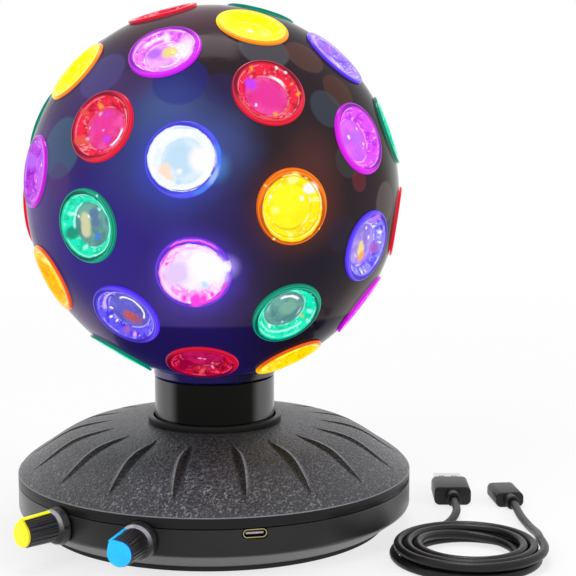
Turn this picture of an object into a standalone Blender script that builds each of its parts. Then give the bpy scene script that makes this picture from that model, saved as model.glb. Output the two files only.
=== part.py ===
"""LED disco ball light: a lens ball that a motor turns on a round base, and its USB cable.

Metres, +Z up. The origin is on the table, on the axis that the ball turns about. -Y is the front.
"""

import math

import bmesh
import bpy
from mathutils import Matrix, Vector

# Clearances
FIT = 0.0003
RUN_GAP = 0.0005
OVERRUN = 0.004
WELD = 0.000002

# Ball shells
BALL_RADIUS = 0.075
BALL_WALL = 0.0022
POLE_AZIMUTH = math.radians(23.3)
FILLER_COUNT = 300
FILLER_MARGIN = math.radians(5.5)

# Lens cups, in rings round the pole
LENS_SIDES = 10
LENS_FLANGE_SHARE = 0.18733
LENS_BARREL_STEP = 0.00185
LENS_RIM_WIDTH = 0.00235
LENS_SLOPE_WIDTH = 0.0032
LENS_PROUD = 0.0014
LENS_RECESS = 0.0032
LENS_FLOOR = 0.0016
INNER_RING_POLAR = math.radians(33.4)
INNER_RING_PHASE = math.radians(-24.8)
INNER_RING_COUNT = 6
OUTER_RING_POLAR = math.radians(61.1)
OUTER_RING_PHASE = math.radians(252.2)
SEAM_PHASE = math.radians(270)
OUTER_RING_COUNT = 11

# Clear liner that carries the rear lens cups
LINER_GAP = 0.0009
LINER_WALL = 0.0009

# Hub under the ball, with the ring gear in it
HUB_SIDES = 36
HUB_SHARE = 0.33
HUB_STEP = 0.00075
HUB_PROUD = 0.0032
HUB_FLANGE_WIDTH = 0.0019
HUB_FLANGE_THICKNESS = 0.002
HUB_SEAT_GAP = 0.0007
GEAR_DEPTH = 0.0061

# Gear pair: the pinion turns in the hub's ring gear
PINION_TEETH = 10
RING_TEETH = 50
TOOTH_REACH_SHARE = 0.5625
TOOTH_ROOT_SHARE = 1.0625
RING_GEAR_WALL = 0.00475
PINION_TIP_SHARE = 0.18
PINION_ROOT_SHARE = 0.58
SPACE_TIP_SHARE = 0.54
SPACE_ROOT_SHARE = 0.715
MOTOR_ANGLE = math.radians(90)

# Motor
MOTOR_GAP = 0.0005
MOTOR_LENGTH = 0.015
MOTOR_SHAFT_RADIUS = 0.001
MOTOR_BORE_DEPTH = 0.003

# Neck
NECK_STEP = 0.00025
NECK_WALL = 0.002
NECK_SHOWN = 0.0163
NECK_PLATE = 0.0022
NECK_FLANGE_WIDTH = 0.005
NECK_FLANGE_THICKNESS = 0.003
NECK_BOSS_WALL = 0.0022

# Post, its retaining ring and the LED head
POST_RADIUS = 0.0045
POST_WALL = 0.0012
POST_FLANGE_GAP = 0.002
POST_FLANGE_THICKNESS = 0.0025
RETAINER_WIDTH = 0.0032
RETAINER_THICKNESS = 0.0016
LED_HEAD_RADIUS = 0.011
LED_HEAD_HEIGHT = 0.016
LED_HEAD_SIDES = 8

# Base cover
BASE_RADIUS = 0.0804
BASE_WALL = 0.002
BASE_SIDES = 36
COLLAR_GAP = 0.0006
COLLAR_WIDTH = 0.0022
COLLAR_HEIGHT = 0.00225
DOME_RISE = 0.0193
RIM_STRIP = 0.0041
# How far out from the collar to the rim, and how high above the rim, the dome's outline passes
DOME_SHARES = ((1.0, 0.0), (0.962, 0.115), (0.848, 0.335), (0.6, 0.755), (0.336, 0.934), (0.127, 0.995))

# Leaf-shaped grooves on the cover
GROOVE_COUNT = 18
GROOVE_PHASE = math.radians(9.2)
GROOVE_START = 0.0435
GROOVE_END = 0.0745
GROOVE_WIDTH = 0.0052
GROOVE_DEPTH = 0.0011
GROOVE_WALL = 0.0005
# Where along a groove, and what part of its width and depth it has there
GROOVE_SHARES = ((0.0, 0.2), (0.12, 0.72), (0.36, 1.0), (0.7, 0.66), (1.0, 0.22))

# Tray under the cover
TRAY_SIDE = 0.0105
TRAY_CHAMFER_HEIGHT = 0.0064
TRAY_CHAMFER_WIDTH = 0.0085
TRAY_FLOOR = 0.0022
LEDGE_WIDTH = 0.0014
LEDGE_HEIGHT = 0.0032
LIP_HEIGHT = 0.002
BOSS_STEP = 0.004
BOSS_WALL = 0.003
PAD_STEP = 0.00175
PAD_THICKNESS = 0.002

# USB-C socket and control board
PORT_AZIMUTH = math.radians(11.3)
PORT_WIDTH = 0.00894
PORT_HEIGHT = 0.00326
PORT_LENGTH = 0.00735
PORT_WALL = 0.0003
PORT_SET_BACK = 0.0006
PORT_CLEARANCE = 0.00055
TONGUE_WIDTH = 0.00669
TONGUE_THICKNESS = 0.0007
TONGUE_LENGTH = 0.0045
PORT_BACK = 0.001
BOARD_WIDTH = 0.030
BOARD_LENGTH = 0.030
BOARD_THICKNESS = 0.0016
STANDOFF_RADIUS = 0.0025
STANDOFF_INSET = 0.004

# Knobs and potentiometers
KNOB_HEIGHT = 0.0143
KNOB_AZIMUTHS = {"yellow": math.radians(-45.8), "blue": math.radians(-19.4)}
KNOB_TURNS = {"yellow": 0.0, "blue": math.radians(35)}
KNOB_SIDES = 24
KNOB_GAP = 0.0007
SKIRT_RADIUS = 0.0075
SKIRT_TOP_RADIUS = 0.0068
SKIRT_HEIGHT = 0.0026
SKIRT_CHAMFER = 0.0014
GRIP_RADIUS = 0.0055
GRIP_END_RADIUS = 0.0051
GRIP_FLUTE = 0.0004
GRIP_LENGTH = 0.0124
KNOB_BORE_DEPTH = 0.010
CAP_RADIUS = 0.0048
CAP_THICKNESS = 0.001
POINTER_WIDTH = 0.0016
POINTER_THICKNESS = 0.0008
POINTER_SET_BACK = 0.0002
SHAFT_RADIUS = 0.003
SHAFT_SIDES = 16
POT_SIZE = 0.012
POT_DEPTH = 0.008
POT_BORE_DEPTH = 0.003
BUSHING_WALL = 0.0006

# USB cable, put down beside the lamp
CORD_RADIUS = 0.0017
CORD_STEP = 0.0085
COIL_CENTRE = (0.097, -0.058)
COIL_RADIUS = 0.0288
COIL_PITCH = 0.0039
COIL_START = math.radians(130)
COIL_END = math.radians(6 * 360)
COIL_LOOP_POINTS = 24
USB_A_PLACE = (0.1015, 0.016)
USB_A_AZIMUTH = math.radians(177)
USB_C_PLACE = (0.1255, 0.012)
USB_C_AZIMUTH = math.radians(184)
USB_A_ROUTE = ((0.0845, -0.0300, 0.0017), (0.0945, -0.0185, 0.0021), (0.1000, -0.0055, 0.0033))
USB_C_ROUTE = ((0.1266, -0.0420, 0.0048), (0.1265, -0.0270, 0.0031), (0.1259, -0.0110, 0.0028))
USB_A_GRIP = (0.0157, 0.008, 0.0182)
USB_A_SHELL = (0.012, 0.0045, 0.012)
USB_A_COLLAR_LENGTH = 0.0058
USB_A_COLLAR_RADIUS = 0.00315
USB_A_TONGUE = (0.0108, 0.0018, 0.0108)
USB_A_WINDOW = 0.0025
USB_A_WINDOW_SPREAD = 0.0055
USB_C_GRIP = (0.012, 0.0065, 0.017)
USB_C_SHELL = (0.00834, 0.00256, 0.0065)
USB_C_COLLAR_LENGTH = 0.0049
USB_C_COLLAR_RADIUS = 0.00295
PLUG_WALL = 0.0003
PLUG_BACK = 0.0008
PLUG_ROUNDING = 0.0014

# Heights and radii that follow
LENS_FLANGE_RADIUS = BALL_RADIUS * LENS_FLANGE_SHARE
LENS_BARREL_RADIUS = LENS_FLANGE_RADIUS - LENS_BARREL_STEP
LENS_OPENING_RADIUS = LENS_FLANGE_RADIUS - LENS_RIM_WIDTH
LENS_TOP = math.sqrt(BALL_RADIUS**2 - LENS_FLANGE_RADIUS**2) + LENS_PROUD
INNER_SHARE = (BALL_RADIUS - BALL_WALL) / BALL_RADIUS
LINER_RADIUS = BALL_RADIUS - BALL_WALL - LINER_GAP
HUB_RADIUS = BALL_RADIUS * HUB_SHARE
HUB_NECK_RADIUS = HUB_RADIUS - HUB_STEP
HUB_FLANGE_RADIUS = HUB_NECK_RADIUS + HUB_FLANGE_WIDTH
HUB_HOLE_RADIUS = (HUB_NECK_RADIUS + FIT) / INNER_SHARE
HUB_RIM_TOP = -math.sqrt(BALL_RADIUS**2 - HUB_HOLE_RADIUS**2)
HUB_BOTTOM = HUB_RIM_TOP - HUB_PROUD
HUB_PLATE_BOTTOM = HUB_BOTTOM + GEAR_DEPTH
HUB_FLANGE_BOTTOM = HUB_SEAT_GAP - math.sqrt((BALL_RADIUS - BALL_WALL) ** 2 - HUB_FLANGE_RADIUS**2)
HUB_TOP = HUB_FLANGE_BOTTOM + HUB_FLANGE_THICKNESS
RING_RADIUS = HUB_RADIUS - RING_GEAR_WALL
TOOTH_MODULE = 2 * RING_RADIUS / RING_TEETH
TOOTH_REACH = TOOTH_MODULE * TOOTH_REACH_SHARE
TOOTH_ROOT = TOOTH_MODULE * TOOTH_ROOT_SHARE
PINION_RADIUS = TOOTH_MODULE * PINION_TEETH / 2
MOTOR_OFFSET = RING_RADIUS - PINION_RADIUS
NECK_RADIUS = HUB_RADIUS - NECK_STEP
MOTOR_RADIUS = NECK_RADIUS - NECK_WALL - MOTOR_GAP - MOTOR_OFFSET
POST_FLANGE_RADIUS = MOTOR_OFFSET - MOTOR_RADIUS - POST_FLANGE_GAP
BOSS_RADIUS = NECK_RADIUS + BOSS_STEP
TRAY_BOTTOM = PAD_THICKNESS + FIT
CHAMFER_TOP = TRAY_BOTTOM + TRAY_CHAMFER_HEIGHT
SEAM_HEIGHT = CHAMFER_TOP + TRAY_SIDE
TRAY_TOP = SEAM_HEIGHT - FIT
TRAY_FLOOR_TOP = TRAY_BOTTOM + TRAY_FLOOR
TRAY_BOTTOM_RADIUS = BASE_RADIUS - TRAY_CHAMFER_WIDTH
BASE_INSIDE = BASE_RADIUS - BASE_WALL
LIP_RADIUS = BASE_INSIDE - FIT
LEDGE_RADIUS = LIP_RADIUS - LEDGE_WIDTH
RIM_HEIGHT = SEAM_HEIGHT + RIM_STRIP
DOME_TOP = RIM_HEIGHT + DOME_RISE
COLLAR_TOP = DOME_TOP + COLLAR_HEIGHT
COLLAR_INSIDE = NECK_RADIUS + COLLAR_GAP
COLLAR_RADIUS = COLLAR_INSIDE + COLLAR_WIDTH
NECK_TOP = COLLAR_TOP + NECK_SHOWN
BALL_HEIGHT = NECK_TOP + RUN_GAP - HUB_BOTTOM
PORT_SLOT_HEIGHT = PORT_HEIGHT + 2 * PORT_CLEARANCE
PORT_CENTRE = SEAM_HEIGHT - PORT_SLOT_HEIGHT / 2
BOARD_TOP = -PORT_HEIGHT / 2 - FIT


def clear_scene():
    for obj in list(bpy.data.objects):
        bpy.data.objects.remove(obj, do_unlink=True)


def plastic(name, colour, roughness, metallic=0.0, transmission=0.0):
    """A Principled material of this colour."""
    material = bpy.data.materials.new(name)
    material.use_nodes = True
    shader = material.node_tree.nodes["Principled BSDF"]
    shader.inputs["Base Color"].default_value = (*colour, 1.0)
    shader.inputs["Roughness"].default_value = roughness
    shader.inputs["Metallic"].default_value = metallic
    shader.inputs["Transmission Weight"].default_value = transmission
    return material


def place(name, mesh, material, parent=None, location=(0, 0, 0), rotation=(0, 0, 0)):
    """Puts a mesh into the scene as a named sub-part with its own material."""
    obj = bpy.data.objects.new(name, mesh)
    bpy.context.scene.collection.objects.link(obj)
    if not mesh.materials:
        mesh.materials.append(None)
    obj.material_slots[0].link = "OBJECT"
    obj.material_slots[0].material = material
    obj.parent = parent
    obj.location = location
    obj.rotation_euler = rotation
    return obj


def empty(name, location, rotation=(0, 0, 0)):
    """An axis that moving pieces, or pieces in a turned frame, hang on."""
    obj = bpy.data.objects.new(name, None)
    bpy.context.scene.collection.objects.link(obj)
    obj.location = location
    obj.rotation_euler = rotation
    return obj


def finished(name, bm, smooth_angle=math.radians(35)):
    """The mesh of this bmesh, facing outwards, with round faces shaded smooth."""
    bmesh.ops.recalc_face_normals(bm, faces=list(bm.faces))
    mesh = bpy.data.meshes.new(name)
    bm.to_mesh(mesh)
    bm.free()
    mesh.shade_smooth()
    mesh.set_sharp_from_angle(angle=smooth_angle)
    return mesh


def turned(outline, sides, closed=False):
    """An outline of (radius, height) points, turned about Z. An open one gets flat ends."""
    bm = bmesh.new()
    verts = [bm.verts.new((radius, 0, height)) for radius, height in outline]
    pairs = list(zip(verts, verts[1:])) + ([(verts[-1], verts[0])] if closed else [])
    edges = [bm.edges.new(pair) for pair in pairs]
    bmesh.ops.spin(
        bm, geom=verts + edges, axis=(0, 0, 1), angle=math.tau, steps=sides, use_merge=True
    )
    bmesh.ops.remove_doubles(bm, verts=list(bm.verts), dist=WELD)
    bmesh.ops.holes_fill(bm, edges=[edge for edge in bm.edges if edge.is_boundary])
    return bm


def extruded(outline, bottom, top):
    """A flat outline of (x, y) points, drawn out along Z."""
    bm = bmesh.new()
    face = bm.faces.new([bm.verts.new((x, y, bottom)) for x, y in outline])
    drawn = bmesh.ops.extrude_face_region(bm, geom=[face])
    verts = [item for item in drawn["geom"] if isinstance(item, bmesh.types.BMVert)]
    bmesh.ops.translate(bm, vec=(0, 0, top - bottom), verts=verts)
    return bm


def block(size, centre=(0, 0, 0)):
    bm = bmesh.new()
    bmesh.ops.create_cube(bm, size=1)
    bmesh.ops.scale(bm, vec=size, verts=list(bm.verts))
    bmesh.ops.translate(bm, vec=centre, verts=list(bm.verts))
    return bm


def stadium(width, height, corner_steps=4):
    """The outline of a slot with round ends."""
    radius = height / 2
    points = []
    for side, start in ((1, -math.pi / 2), (-1, math.pi / 2)):
        for step in range(corner_steps + 1):
            angle = start + math.pi * step / corner_steps
            points.append((side * (width / 2 - radius) + radius * math.cos(angle), radius * math.sin(angle)))
    return points


def combine(target, bm, operation, location=(0, 0, 0), rotation=(0, 0, 0)):
    """Cuts a helper solid from the target, or joins it on."""
    mesh = finished(target.name + "_helper", bm)
    helper = place(mesh.name, mesh, None, target.parent, location, rotation)
    helper.hide_render = True
    helper.display_type = "WIRE"
    modifier = target.modifiers.new(helper.name, "BOOLEAN")
    modifier.operation = operation
    modifier.object = helper


def joined_meshes(parts):
    """One bmesh that holds several apart from each other, for use as one cutter."""
    whole = bmesh.new()
    for part in parts:
        mesh = bpy.data.meshes.new("part")
        part.to_mesh(mesh)
        part.free()
        whole.from_mesh(mesh)
        bpy.data.meshes.remove(mesh)
    return whole


def facing(azimuth):
    """The rotation that turns local Z outwards at this azimuth from the front, and local Y up."""
    return (math.pi / 2, 0, azimuth)


def outwards(azimuth, radius, height):
    return (radius * math.sin(azimuth), -radius * math.cos(azimuth), height)


# Ball


def lens_frame(polar, phase):
    """The frame of a lens: local Z outwards, local X along its ring. The pole is -Y in the ball's frame."""
    out = Vector(
        (math.sin(polar) * math.cos(phase), -math.cos(polar), math.sin(polar) * math.sin(phase))
    )
    along = Vector((-math.sin(phase), 0, math.cos(phase)))
    return Matrix((along, out.cross(along), out)).transposed()


def ring_frames(polar, first, count, total):
    return [lens_frame(polar, first + math.tau * index / total) for index in range(count)]


def front_lens_frames():
    return (
        [lens_frame(0, SEAM_PHASE)]
        + ring_frames(INNER_RING_POLAR, INNER_RING_PHASE, INNER_RING_COUNT, INNER_RING_COUNT)
        + ring_frames(OUTER_RING_POLAR, OUTER_RING_PHASE, OUTER_RING_COUNT, OUTER_RING_COUNT)
    )


def seam_lens_frames():
    """The hub takes one place of the ring on the seam, and lenses take the others."""
    first = SEAM_PHASE + math.tau / OUTER_RING_COUNT
    return ring_frames(math.pi / 2, first, OUTER_RING_COUNT - 1, OUTER_RING_COUNT)


def rear_lens_frames():
    return (
        [lens_frame(math.pi, SEAM_PHASE)]
        + ring_frames(math.pi - INNER_RING_POLAR, INNER_RING_PHASE, INNER_RING_COUNT, INNER_RING_COUNT)
        + ring_frames(math.pi - OUTER_RING_POLAR, OUTER_RING_PHASE, OUTER_RING_COUNT, OUTER_RING_COUNT)
    )


def lens_outline():
    """The lens cup from the barrel's inner end to the floor of its recess, as (radius, height)."""
    floor_height = LENS_TOP - LENS_RECESS

    def seat(radius):
        return math.sqrt(BALL_RADIUS**2 - radius**2) + FIT

    return [
        (LENS_BARREL_RADIUS, floor_height - LENS_FLOOR),
        (LENS_BARREL_RADIUS, seat(LENS_BARREL_RADIUS)),
        (LENS_FLANGE_RADIUS, seat(LENS_FLANGE_RADIUS)),
        (LENS_FLANGE_RADIUS, LENS_TOP),
        (LENS_OPENING_RADIUS, LENS_TOP),
        (LENS_OPENING_RADIUS - LENS_SLOPE_WIDTH, floor_height),
    ]


def even_directions(count):
    """Directions spread evenly over the sphere, on a spiral."""
    for index in range(count):
        height = 1 - (2 * index + 1) / count
        turn = index * math.pi * (3 - math.sqrt(5))
        across = math.sqrt(1 - height**2)
        yield Vector((across * math.cos(turn), across * math.sin(turn), height))


def seam_directions():
    """The points on the seam midway between its holes."""
    for index in range(OUTER_RING_COUNT):
        phase = SEAM_PHASE + math.tau * (index + 0.5) / OUTER_RING_COUNT
        yield Vector((math.cos(phase), 0, math.sin(phase)))


def sphere_sheet(radius, rims):
    """A faceted sphere with a hole at each rim, given as (frame, radius, sides), and the rims' vertices."""
    bm = bmesh.new()
    loops = []
    for frame, rim_radius, sides in rims:
        height = math.sqrt(radius**2 - rim_radius**2)
        angles = [math.tau * side / sides for side in range(sides)]
        corners = [Vector((rim_radius * math.cos(a), rim_radius * math.sin(a), height)) for a in angles]
        loops.append([bm.verts.new(frame @ corner) for corner in corners])
    centres = [(frame.col[2], math.asin(rim_radius / radius)) for frame, rim_radius, _ in rims]
    for direction in list(seam_directions()) + list(even_directions(FILLER_COUNT)):
        if all(direction.angle(centre) > reach + FILLER_MARGIN for centre, reach in centres):
            bm.verts.new(direction * radius)
    bmesh.ops.convex_hull(bm, input=list(bm.verts))
    for loop in loops:
        own = set(loop)
        caps = [face for face in bm.faces if own.issuperset(face.verts)]
        bmesh.ops.delete(bm, geom=caps, context="FACES")
    return bm, loops


def keep_half(bm, side):
    """Cuts the sheet at the seam and keeps its front (side -1) or its rear (side 1)."""
    normal = Vector((0, side, 0))
    geometry = list(bm.verts) + list(bm.edges) + list(bm.faces)
    bmesh.ops.bisect_plane(
        bm,
        geom=geometry,
        dist=WELD,
        plane_co=normal * FIT / 2,
        plane_no=normal,
        clear_inner=True,
    )


def thicken(bm, inner_share):
    """Adds the inner surface, at this share of the outer one's radius, and the walls between them."""
    border = [edge for edge in bm.edges if edge.is_boundary]
    copy = bmesh.ops.duplicate(bm, geom=list(bm.verts) + list(bm.edges) + list(bm.faces))
    inner = [item for item in copy["geom"] if isinstance(item, bmesh.types.BMVert)]
    bmesh.ops.scale(bm, vec=(inner_share,) * 3, verts=inner)
    for edge in border:
        first, second = edge.verts
        bm.faces.new((first, second, copy["vert_map"][second], copy["vert_map"][first]))


def hub_frame():
    return lens_frame(math.pi / 2, SEAM_PHASE)


def shell_mesh(name, lens_frames, side):
    hole_radius = (LENS_BARREL_RADIUS + FIT) / INNER_SHARE
    rims = [(frame, hole_radius, LENS_SIDES) for frame in lens_frames + seam_lens_frames()]
    bm, _ = sphere_sheet(BALL_RADIUS, rims + [(hub_frame(), HUB_HOLE_RADIUS, HUB_SIDES)])
    keep_half(bm, side)
    thicken(bm, INNER_SHARE)
    return finished(name, bm)


def rear_lens_mesh():
    """The rear lens cups on one liner, open where the seam's lenses and the hub pass through it."""
    inner_share = (LINER_RADIUS - LINER_WALL) / LINER_RADIUS
    cups = [(frame, LENS_BARREL_RADIUS, LENS_SIDES) for frame in rear_lens_frames()]
    holes = [(frame, (LENS_BARREL_RADIUS + FIT) / inner_share, LENS_SIDES) for frame in seam_lens_frames()]
    holes.append((hub_frame(), (HUB_FLANGE_RADIUS + FIT) / inner_share, HUB_SIDES))
    bm, loops = sphere_sheet(LINER_RADIUS, cups + holes)
    caps = [bm.faces.new(loop) for loop in loops[: len(cups)]]
    keep_half(bm, 1)
    thicken(bm, inner_share)
    bmesh.ops.delete(bm, geom=caps, context="FACES_ONLY")
    for (frame, _, sides), loop in zip(cups, loops):
        ring = loop
        for radius, height in lens_outline()[1:]:
            angles = [math.tau * side / sides for side in range(sides)]
            corners = [Vector((radius * math.cos(a), radius * math.sin(a), height)) for a in angles]
            following = [bm.verts.new(frame @ corner) for corner in corners]
            for i in range(sides):
                j = (i + 1) % sides
                bm.faces.new((ring[i], ring[j], following[j], following[i]))
            ring = following
        bm.faces.new(ring)
    return finished("rear_lens_set", bm)


def gear_outline(teeth, tip, root, tip_share, root_share, phase):
    """Straight-sided teeth, one of them at the phase. Shares are a tooth's width over the pitch."""
    points = []
    for tooth in range(teeth):
        for radius, share in ((root, -root_share), (tip, -tip_share), (tip, tip_share), (root, root_share)):
            angle = phase + math.tau * (tooth + share / 2) / teeth
            points.append((radius * math.cos(angle), radius * math.sin(angle)))
    return points


def make_hub(axis, material):
    bore = POST_RADIUS + FIT
    outline = [
        (bore, HUB_BOTTOM),
        (HUB_RADIUS, HUB_BOTTOM),
        (HUB_RADIUS, HUB_RIM_TOP),
        (HUB_NECK_RADIUS, HUB_RIM_TOP),
        (HUB_NECK_RADIUS, HUB_FLANGE_BOTTOM),
        (HUB_FLANGE_RADIUS, HUB_FLANGE_BOTTOM),
        (HUB_FLANGE_RADIUS, HUB_TOP),
        (bore, HUB_TOP),
    ]
    mesh = finished("ball_hub", turned(outline, HUB_SIDES, closed=True))
    hub = place("ball_hub", mesh, material, axis)
    spaces = gear_outline(
        RING_TEETH,
        RING_RADIUS + TOOTH_ROOT,
        RING_RADIUS - TOOTH_REACH,
        SPACE_TIP_SHARE,
        SPACE_ROOT_SHARE,
        MOTOR_ANGLE - POLE_AZIMUTH,
    )
    combine(hub, extruded(spaces, HUB_BOTTOM - OVERRUN, HUB_PLATE_BOTTOM), "DIFFERENCE")


LENS_COLOURS = {
    "red": (0.75, 0.01, 0.02),
    "yellow": (0.95, 0.75, 0.01),
    "orange": (0.95, 0.45, 0.01),
    "green": (0.01, 0.55, 0.12),
    "blue": (0.01, 0.06, 0.75),
    "magenta": (0.62, 0.02, 0.42),
    "ice": (0.75, 0.88, 1.0),
    "pink": (1.0, 0.35, 0.85),
}
FRONT_COLOURS = (
    "yellow",
    "blue magenta red ice pink green",
    "red yellow magenta red green blue yellow magenta red green blue",
)
SEAM_COLOURS = "blue magenta yellow blue green red yellow magenta orange green"


def make_lenses(axis):
    """One lens node for each cup in the front half and on the seam."""
    mesh = finished("lens", turned(lens_outline(), LENS_SIDES))
    rings = [name.split() for name in FRONT_COLOURS]
    names = ["lens_centre"]
    names += [f"lens_inner_{index + 1}" for index in range(INNER_RING_COUNT)]
    names += [f"lens_outer_{index + 1:02d}" for index in range(OUTER_RING_COUNT)]
    names += [f"lens_seam_{index + 1:02d}" for index in range(OUTER_RING_COUNT - 1)]
    frames = front_lens_frames() + seam_lens_frames()
    colours = rings[0] + rings[1] + rings[2] + SEAM_COLOURS.split()
    for name, frame, colour in zip(names, frames, colours):
        material = plastic(name, LENS_COLOURS[colour], 0.12, transmission=0.6)
        place(name, mesh, material, axis, rotation=frame.to_euler())


def make_ball():
    axis = empty("ball_axis", (0, 0, BALL_HEIGHT), (0, 0, POLE_AZIMUTH))
    shell = plastic("smoky_shell", (0.025, 0.018, 0.022), 0.12, transmission=0.3)
    place("ball_front_shell", shell_mesh("ball_front_shell", front_lens_frames(), -1), shell, axis)
    rear = plastic("smoky_rear_shell", (0.025, 0.018, 0.022), 0.12, transmission=0.3)
    place("ball_rear_shell", shell_mesh("ball_rear_shell", rear_lens_frames(), 1), rear, axis)
    clear = plastic("rear_lens_plastic", (0.75, 0.7, 0.8), 0.12, transmission=0.7)
    place("rear_lens_set", rear_lens_mesh(), clear, axis)
    make_hub(axis, plastic("hub_plastic", (0.012, 0.012, 0.014), 0.15))
    make_lenses(axis)


# Drive


def motor_place(height):
    return (MOTOR_OFFSET * math.cos(MOTOR_ANGLE), MOTOR_OFFSET * math.sin(MOTOR_ANGLE), height)


def make_drive():
    """The motor under the neck's top plate, and the pinion whose shaft goes down into it."""
    motor_top = NECK_TOP - NECK_PLATE - FIT
    bore = MOTOR_SHAFT_RADIUS + FIT
    outline = [
        (bore, -MOTOR_BORE_DEPTH),
        (bore, 0),
        (MOTOR_RADIUS, 0),
        (MOTOR_RADIUS, -MOTOR_LENGTH),
    ]
    steel = plastic("motor_steel", (0.55, 0.55, 0.57), 0.35, metallic=1.0)
    mesh = finished("drive_motor", turned(outline, 18))
    place("drive_motor", mesh, steel, location=motor_place(motor_top))

    nylon = plastic("pinion_nylon", (0.8, 0.8, 0.76), 0.5)
    teeth = gear_outline(
        PINION_TEETH,
        PINION_RADIUS + TOOTH_REACH,
        PINION_RADIUS - TOOTH_ROOT,
        PINION_TIP_SHARE,
        PINION_ROOT_SHARE,
        MOTOR_ANGLE,
    )
    bottom = RUN_GAP
    top = GEAR_DEPTH
    axis = empty("pinion_axis", motor_place(NECK_TOP))
    pinion = place("drive_pinion", finished("drive_pinion", extruded(teeth, bottom, top)), nylon, axis)
    shaft_bottom = FIT - NECK_PLATE - FIT - MOTOR_BORE_DEPTH
    shaft = [(MOTOR_SHAFT_RADIUS, shaft_bottom), (MOTOR_SHAFT_RADIUS, (bottom + top) / 2)]
    combine(pinion, turned(shaft, 10), "UNION")


def make_neck():
    """The column that the ball stands on. Its boss is the post's seat and the hub's thrust face."""
    bore = POST_RADIUS + FIT
    boss_radius = bore + NECK_BOSS_WALL
    boss_top = NECK_TOP + RUN_GAP + GEAR_DEPTH - FIT
    flange_radius = NECK_RADIUS + NECK_FLANGE_WIDTH
    flange_bottom = neck_flange_bottom()
    outline = [
        (bore, NECK_TOP - NECK_PLATE),
        (bore, boss_top),
        (boss_radius, boss_top),
        (boss_radius, NECK_TOP),
        (NECK_RADIUS, NECK_TOP),
        (NECK_RADIUS, flange_bottom + NECK_FLANGE_THICKNESS),
        (flange_radius, flange_bottom + NECK_FLANGE_THICKNESS),
        (flange_radius, flange_bottom),
        (NECK_RADIUS - NECK_WALL, flange_bottom),
        (NECK_RADIUS - NECK_WALL, NECK_TOP - NECK_PLATE),
    ]
    gloss = plastic("neck_plastic", (0.012, 0.012, 0.014), 0.12)
    neck = place("neck_column", finished("neck_column", turned(outline, 30, closed=True)), gloss)
    hole = [(MOTOR_SHAFT_RADIUS + FIT, -NECK_PLATE - OVERRUN), (MOTOR_SHAFT_RADIUS + FIT, OVERRUN)]
    combine(neck, turned(hole, 10), "DIFFERENCE", motor_place(NECK_TOP))


def make_led_post():
    """The post with its foot flange, the ring that holds the hub down, and the LED head."""
    flange_top = NECK_TOP - NECK_PLATE - FIT
    head_bottom = BALL_HEIGHT - LED_HEAD_HEIGHT / 2
    post_top = head_bottom - FIT
    outline = [
        (POST_RADIUS - POST_WALL, flange_top - POST_FLANGE_THICKNESS),
        (POST_RADIUS - POST_WALL, post_top),
        (POST_RADIUS, post_top),
        (POST_RADIUS, flange_top),
        (POST_FLANGE_RADIUS, flange_top),
        (POST_FLANGE_RADIUS, flange_top - POST_FLANGE_THICKNESS),
    ]
    steel = plastic("post_metal", (0.6, 0.6, 0.62), 0.3, metallic=1.0)
    place("led_post", finished("led_post", turned(outline, 16, closed=True)), steel)

    inside = POST_RADIUS + FIT
    bottom = BALL_HEIGHT + HUB_TOP + FIT
    outline = [
        (inside, bottom),
        (inside, bottom + RETAINER_THICKNESS),
        (inside + RETAINER_WIDTH, bottom + RETAINER_THICKNESS),
        (inside + RETAINER_WIDTH, bottom),
    ]
    ring = plastic("retainer_metal", (0.5, 0.5, 0.52), 0.35, metallic=1.0)
    place("retaining_ring", finished("retaining_ring", turned(outline, 16, closed=True)), ring)

    outline = [(LED_HEAD_RADIUS, head_bottom), (LED_HEAD_RADIUS, head_bottom + LED_HEAD_HEIGHT)]
    white = plastic("led_head", (0.9, 0.9, 0.85), 0.4)
    place("led_head", finished("led_head", turned(outline, LED_HEAD_SIDES), 0), white)


# Base


def dome_points():
    """The dome's outline from the collar out to the rim, as (radius, height)."""
    span = BASE_RADIUS - COLLAR_RADIUS
    points = [(COLLAR_RADIUS + out * span, RIM_HEIGHT + up * DOME_RISE) for out, up in DOME_SHARES]
    return [(COLLAR_RADIUS, DOME_TOP)] + points[::-1]


def dome_height(radius):
    points = dome_points()
    for (inner, high), (outer, low) in zip(points, points[1:]):
        if radius <= outer:
            return high + (low - high) * (radius - inner) / (outer - inner)
    return points[-1][1]


def inset(points, wall):
    """An outline that runs outwards and down, moved inwards by the wall."""
    moved = []
    for index, point in enumerate(points):
        before = Vector(points[max(index - 1, 0)])
        after = Vector(points[min(index + 1, len(points) - 1)])
        here = Vector(point)
        steps = [step.normalized() for step in (here - before, after - here) if step.length > 0]
        normals = [Vector((-step.y, step.x)) for step in steps]
        mitre = sum(normals, Vector((0, 0))).normalized()
        moved.append(tuple(here - mitre * wall / mitre.dot(normals[0])))
    return moved


def cover_inside():
    """The cover's inner outline: level under the collar, then along the dome, then down the rim."""
    inner = inset(dome_points() + [(BASE_RADIUS, SEAM_HEIGHT)], BASE_WALL)[1:]
    return [(COLLAR_INSIDE, DOME_TOP - BASE_WALL)] + inner


def neck_flange_bottom():
    radius = NECK_RADIUS + NECK_FLANGE_WIDTH
    inner = cover_inside()
    lowest = min(height for reach, height in inner if reach <= max(radius, inner[1][0]))
    return lowest - FIT - NECK_FLANGE_THICKNESS


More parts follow.
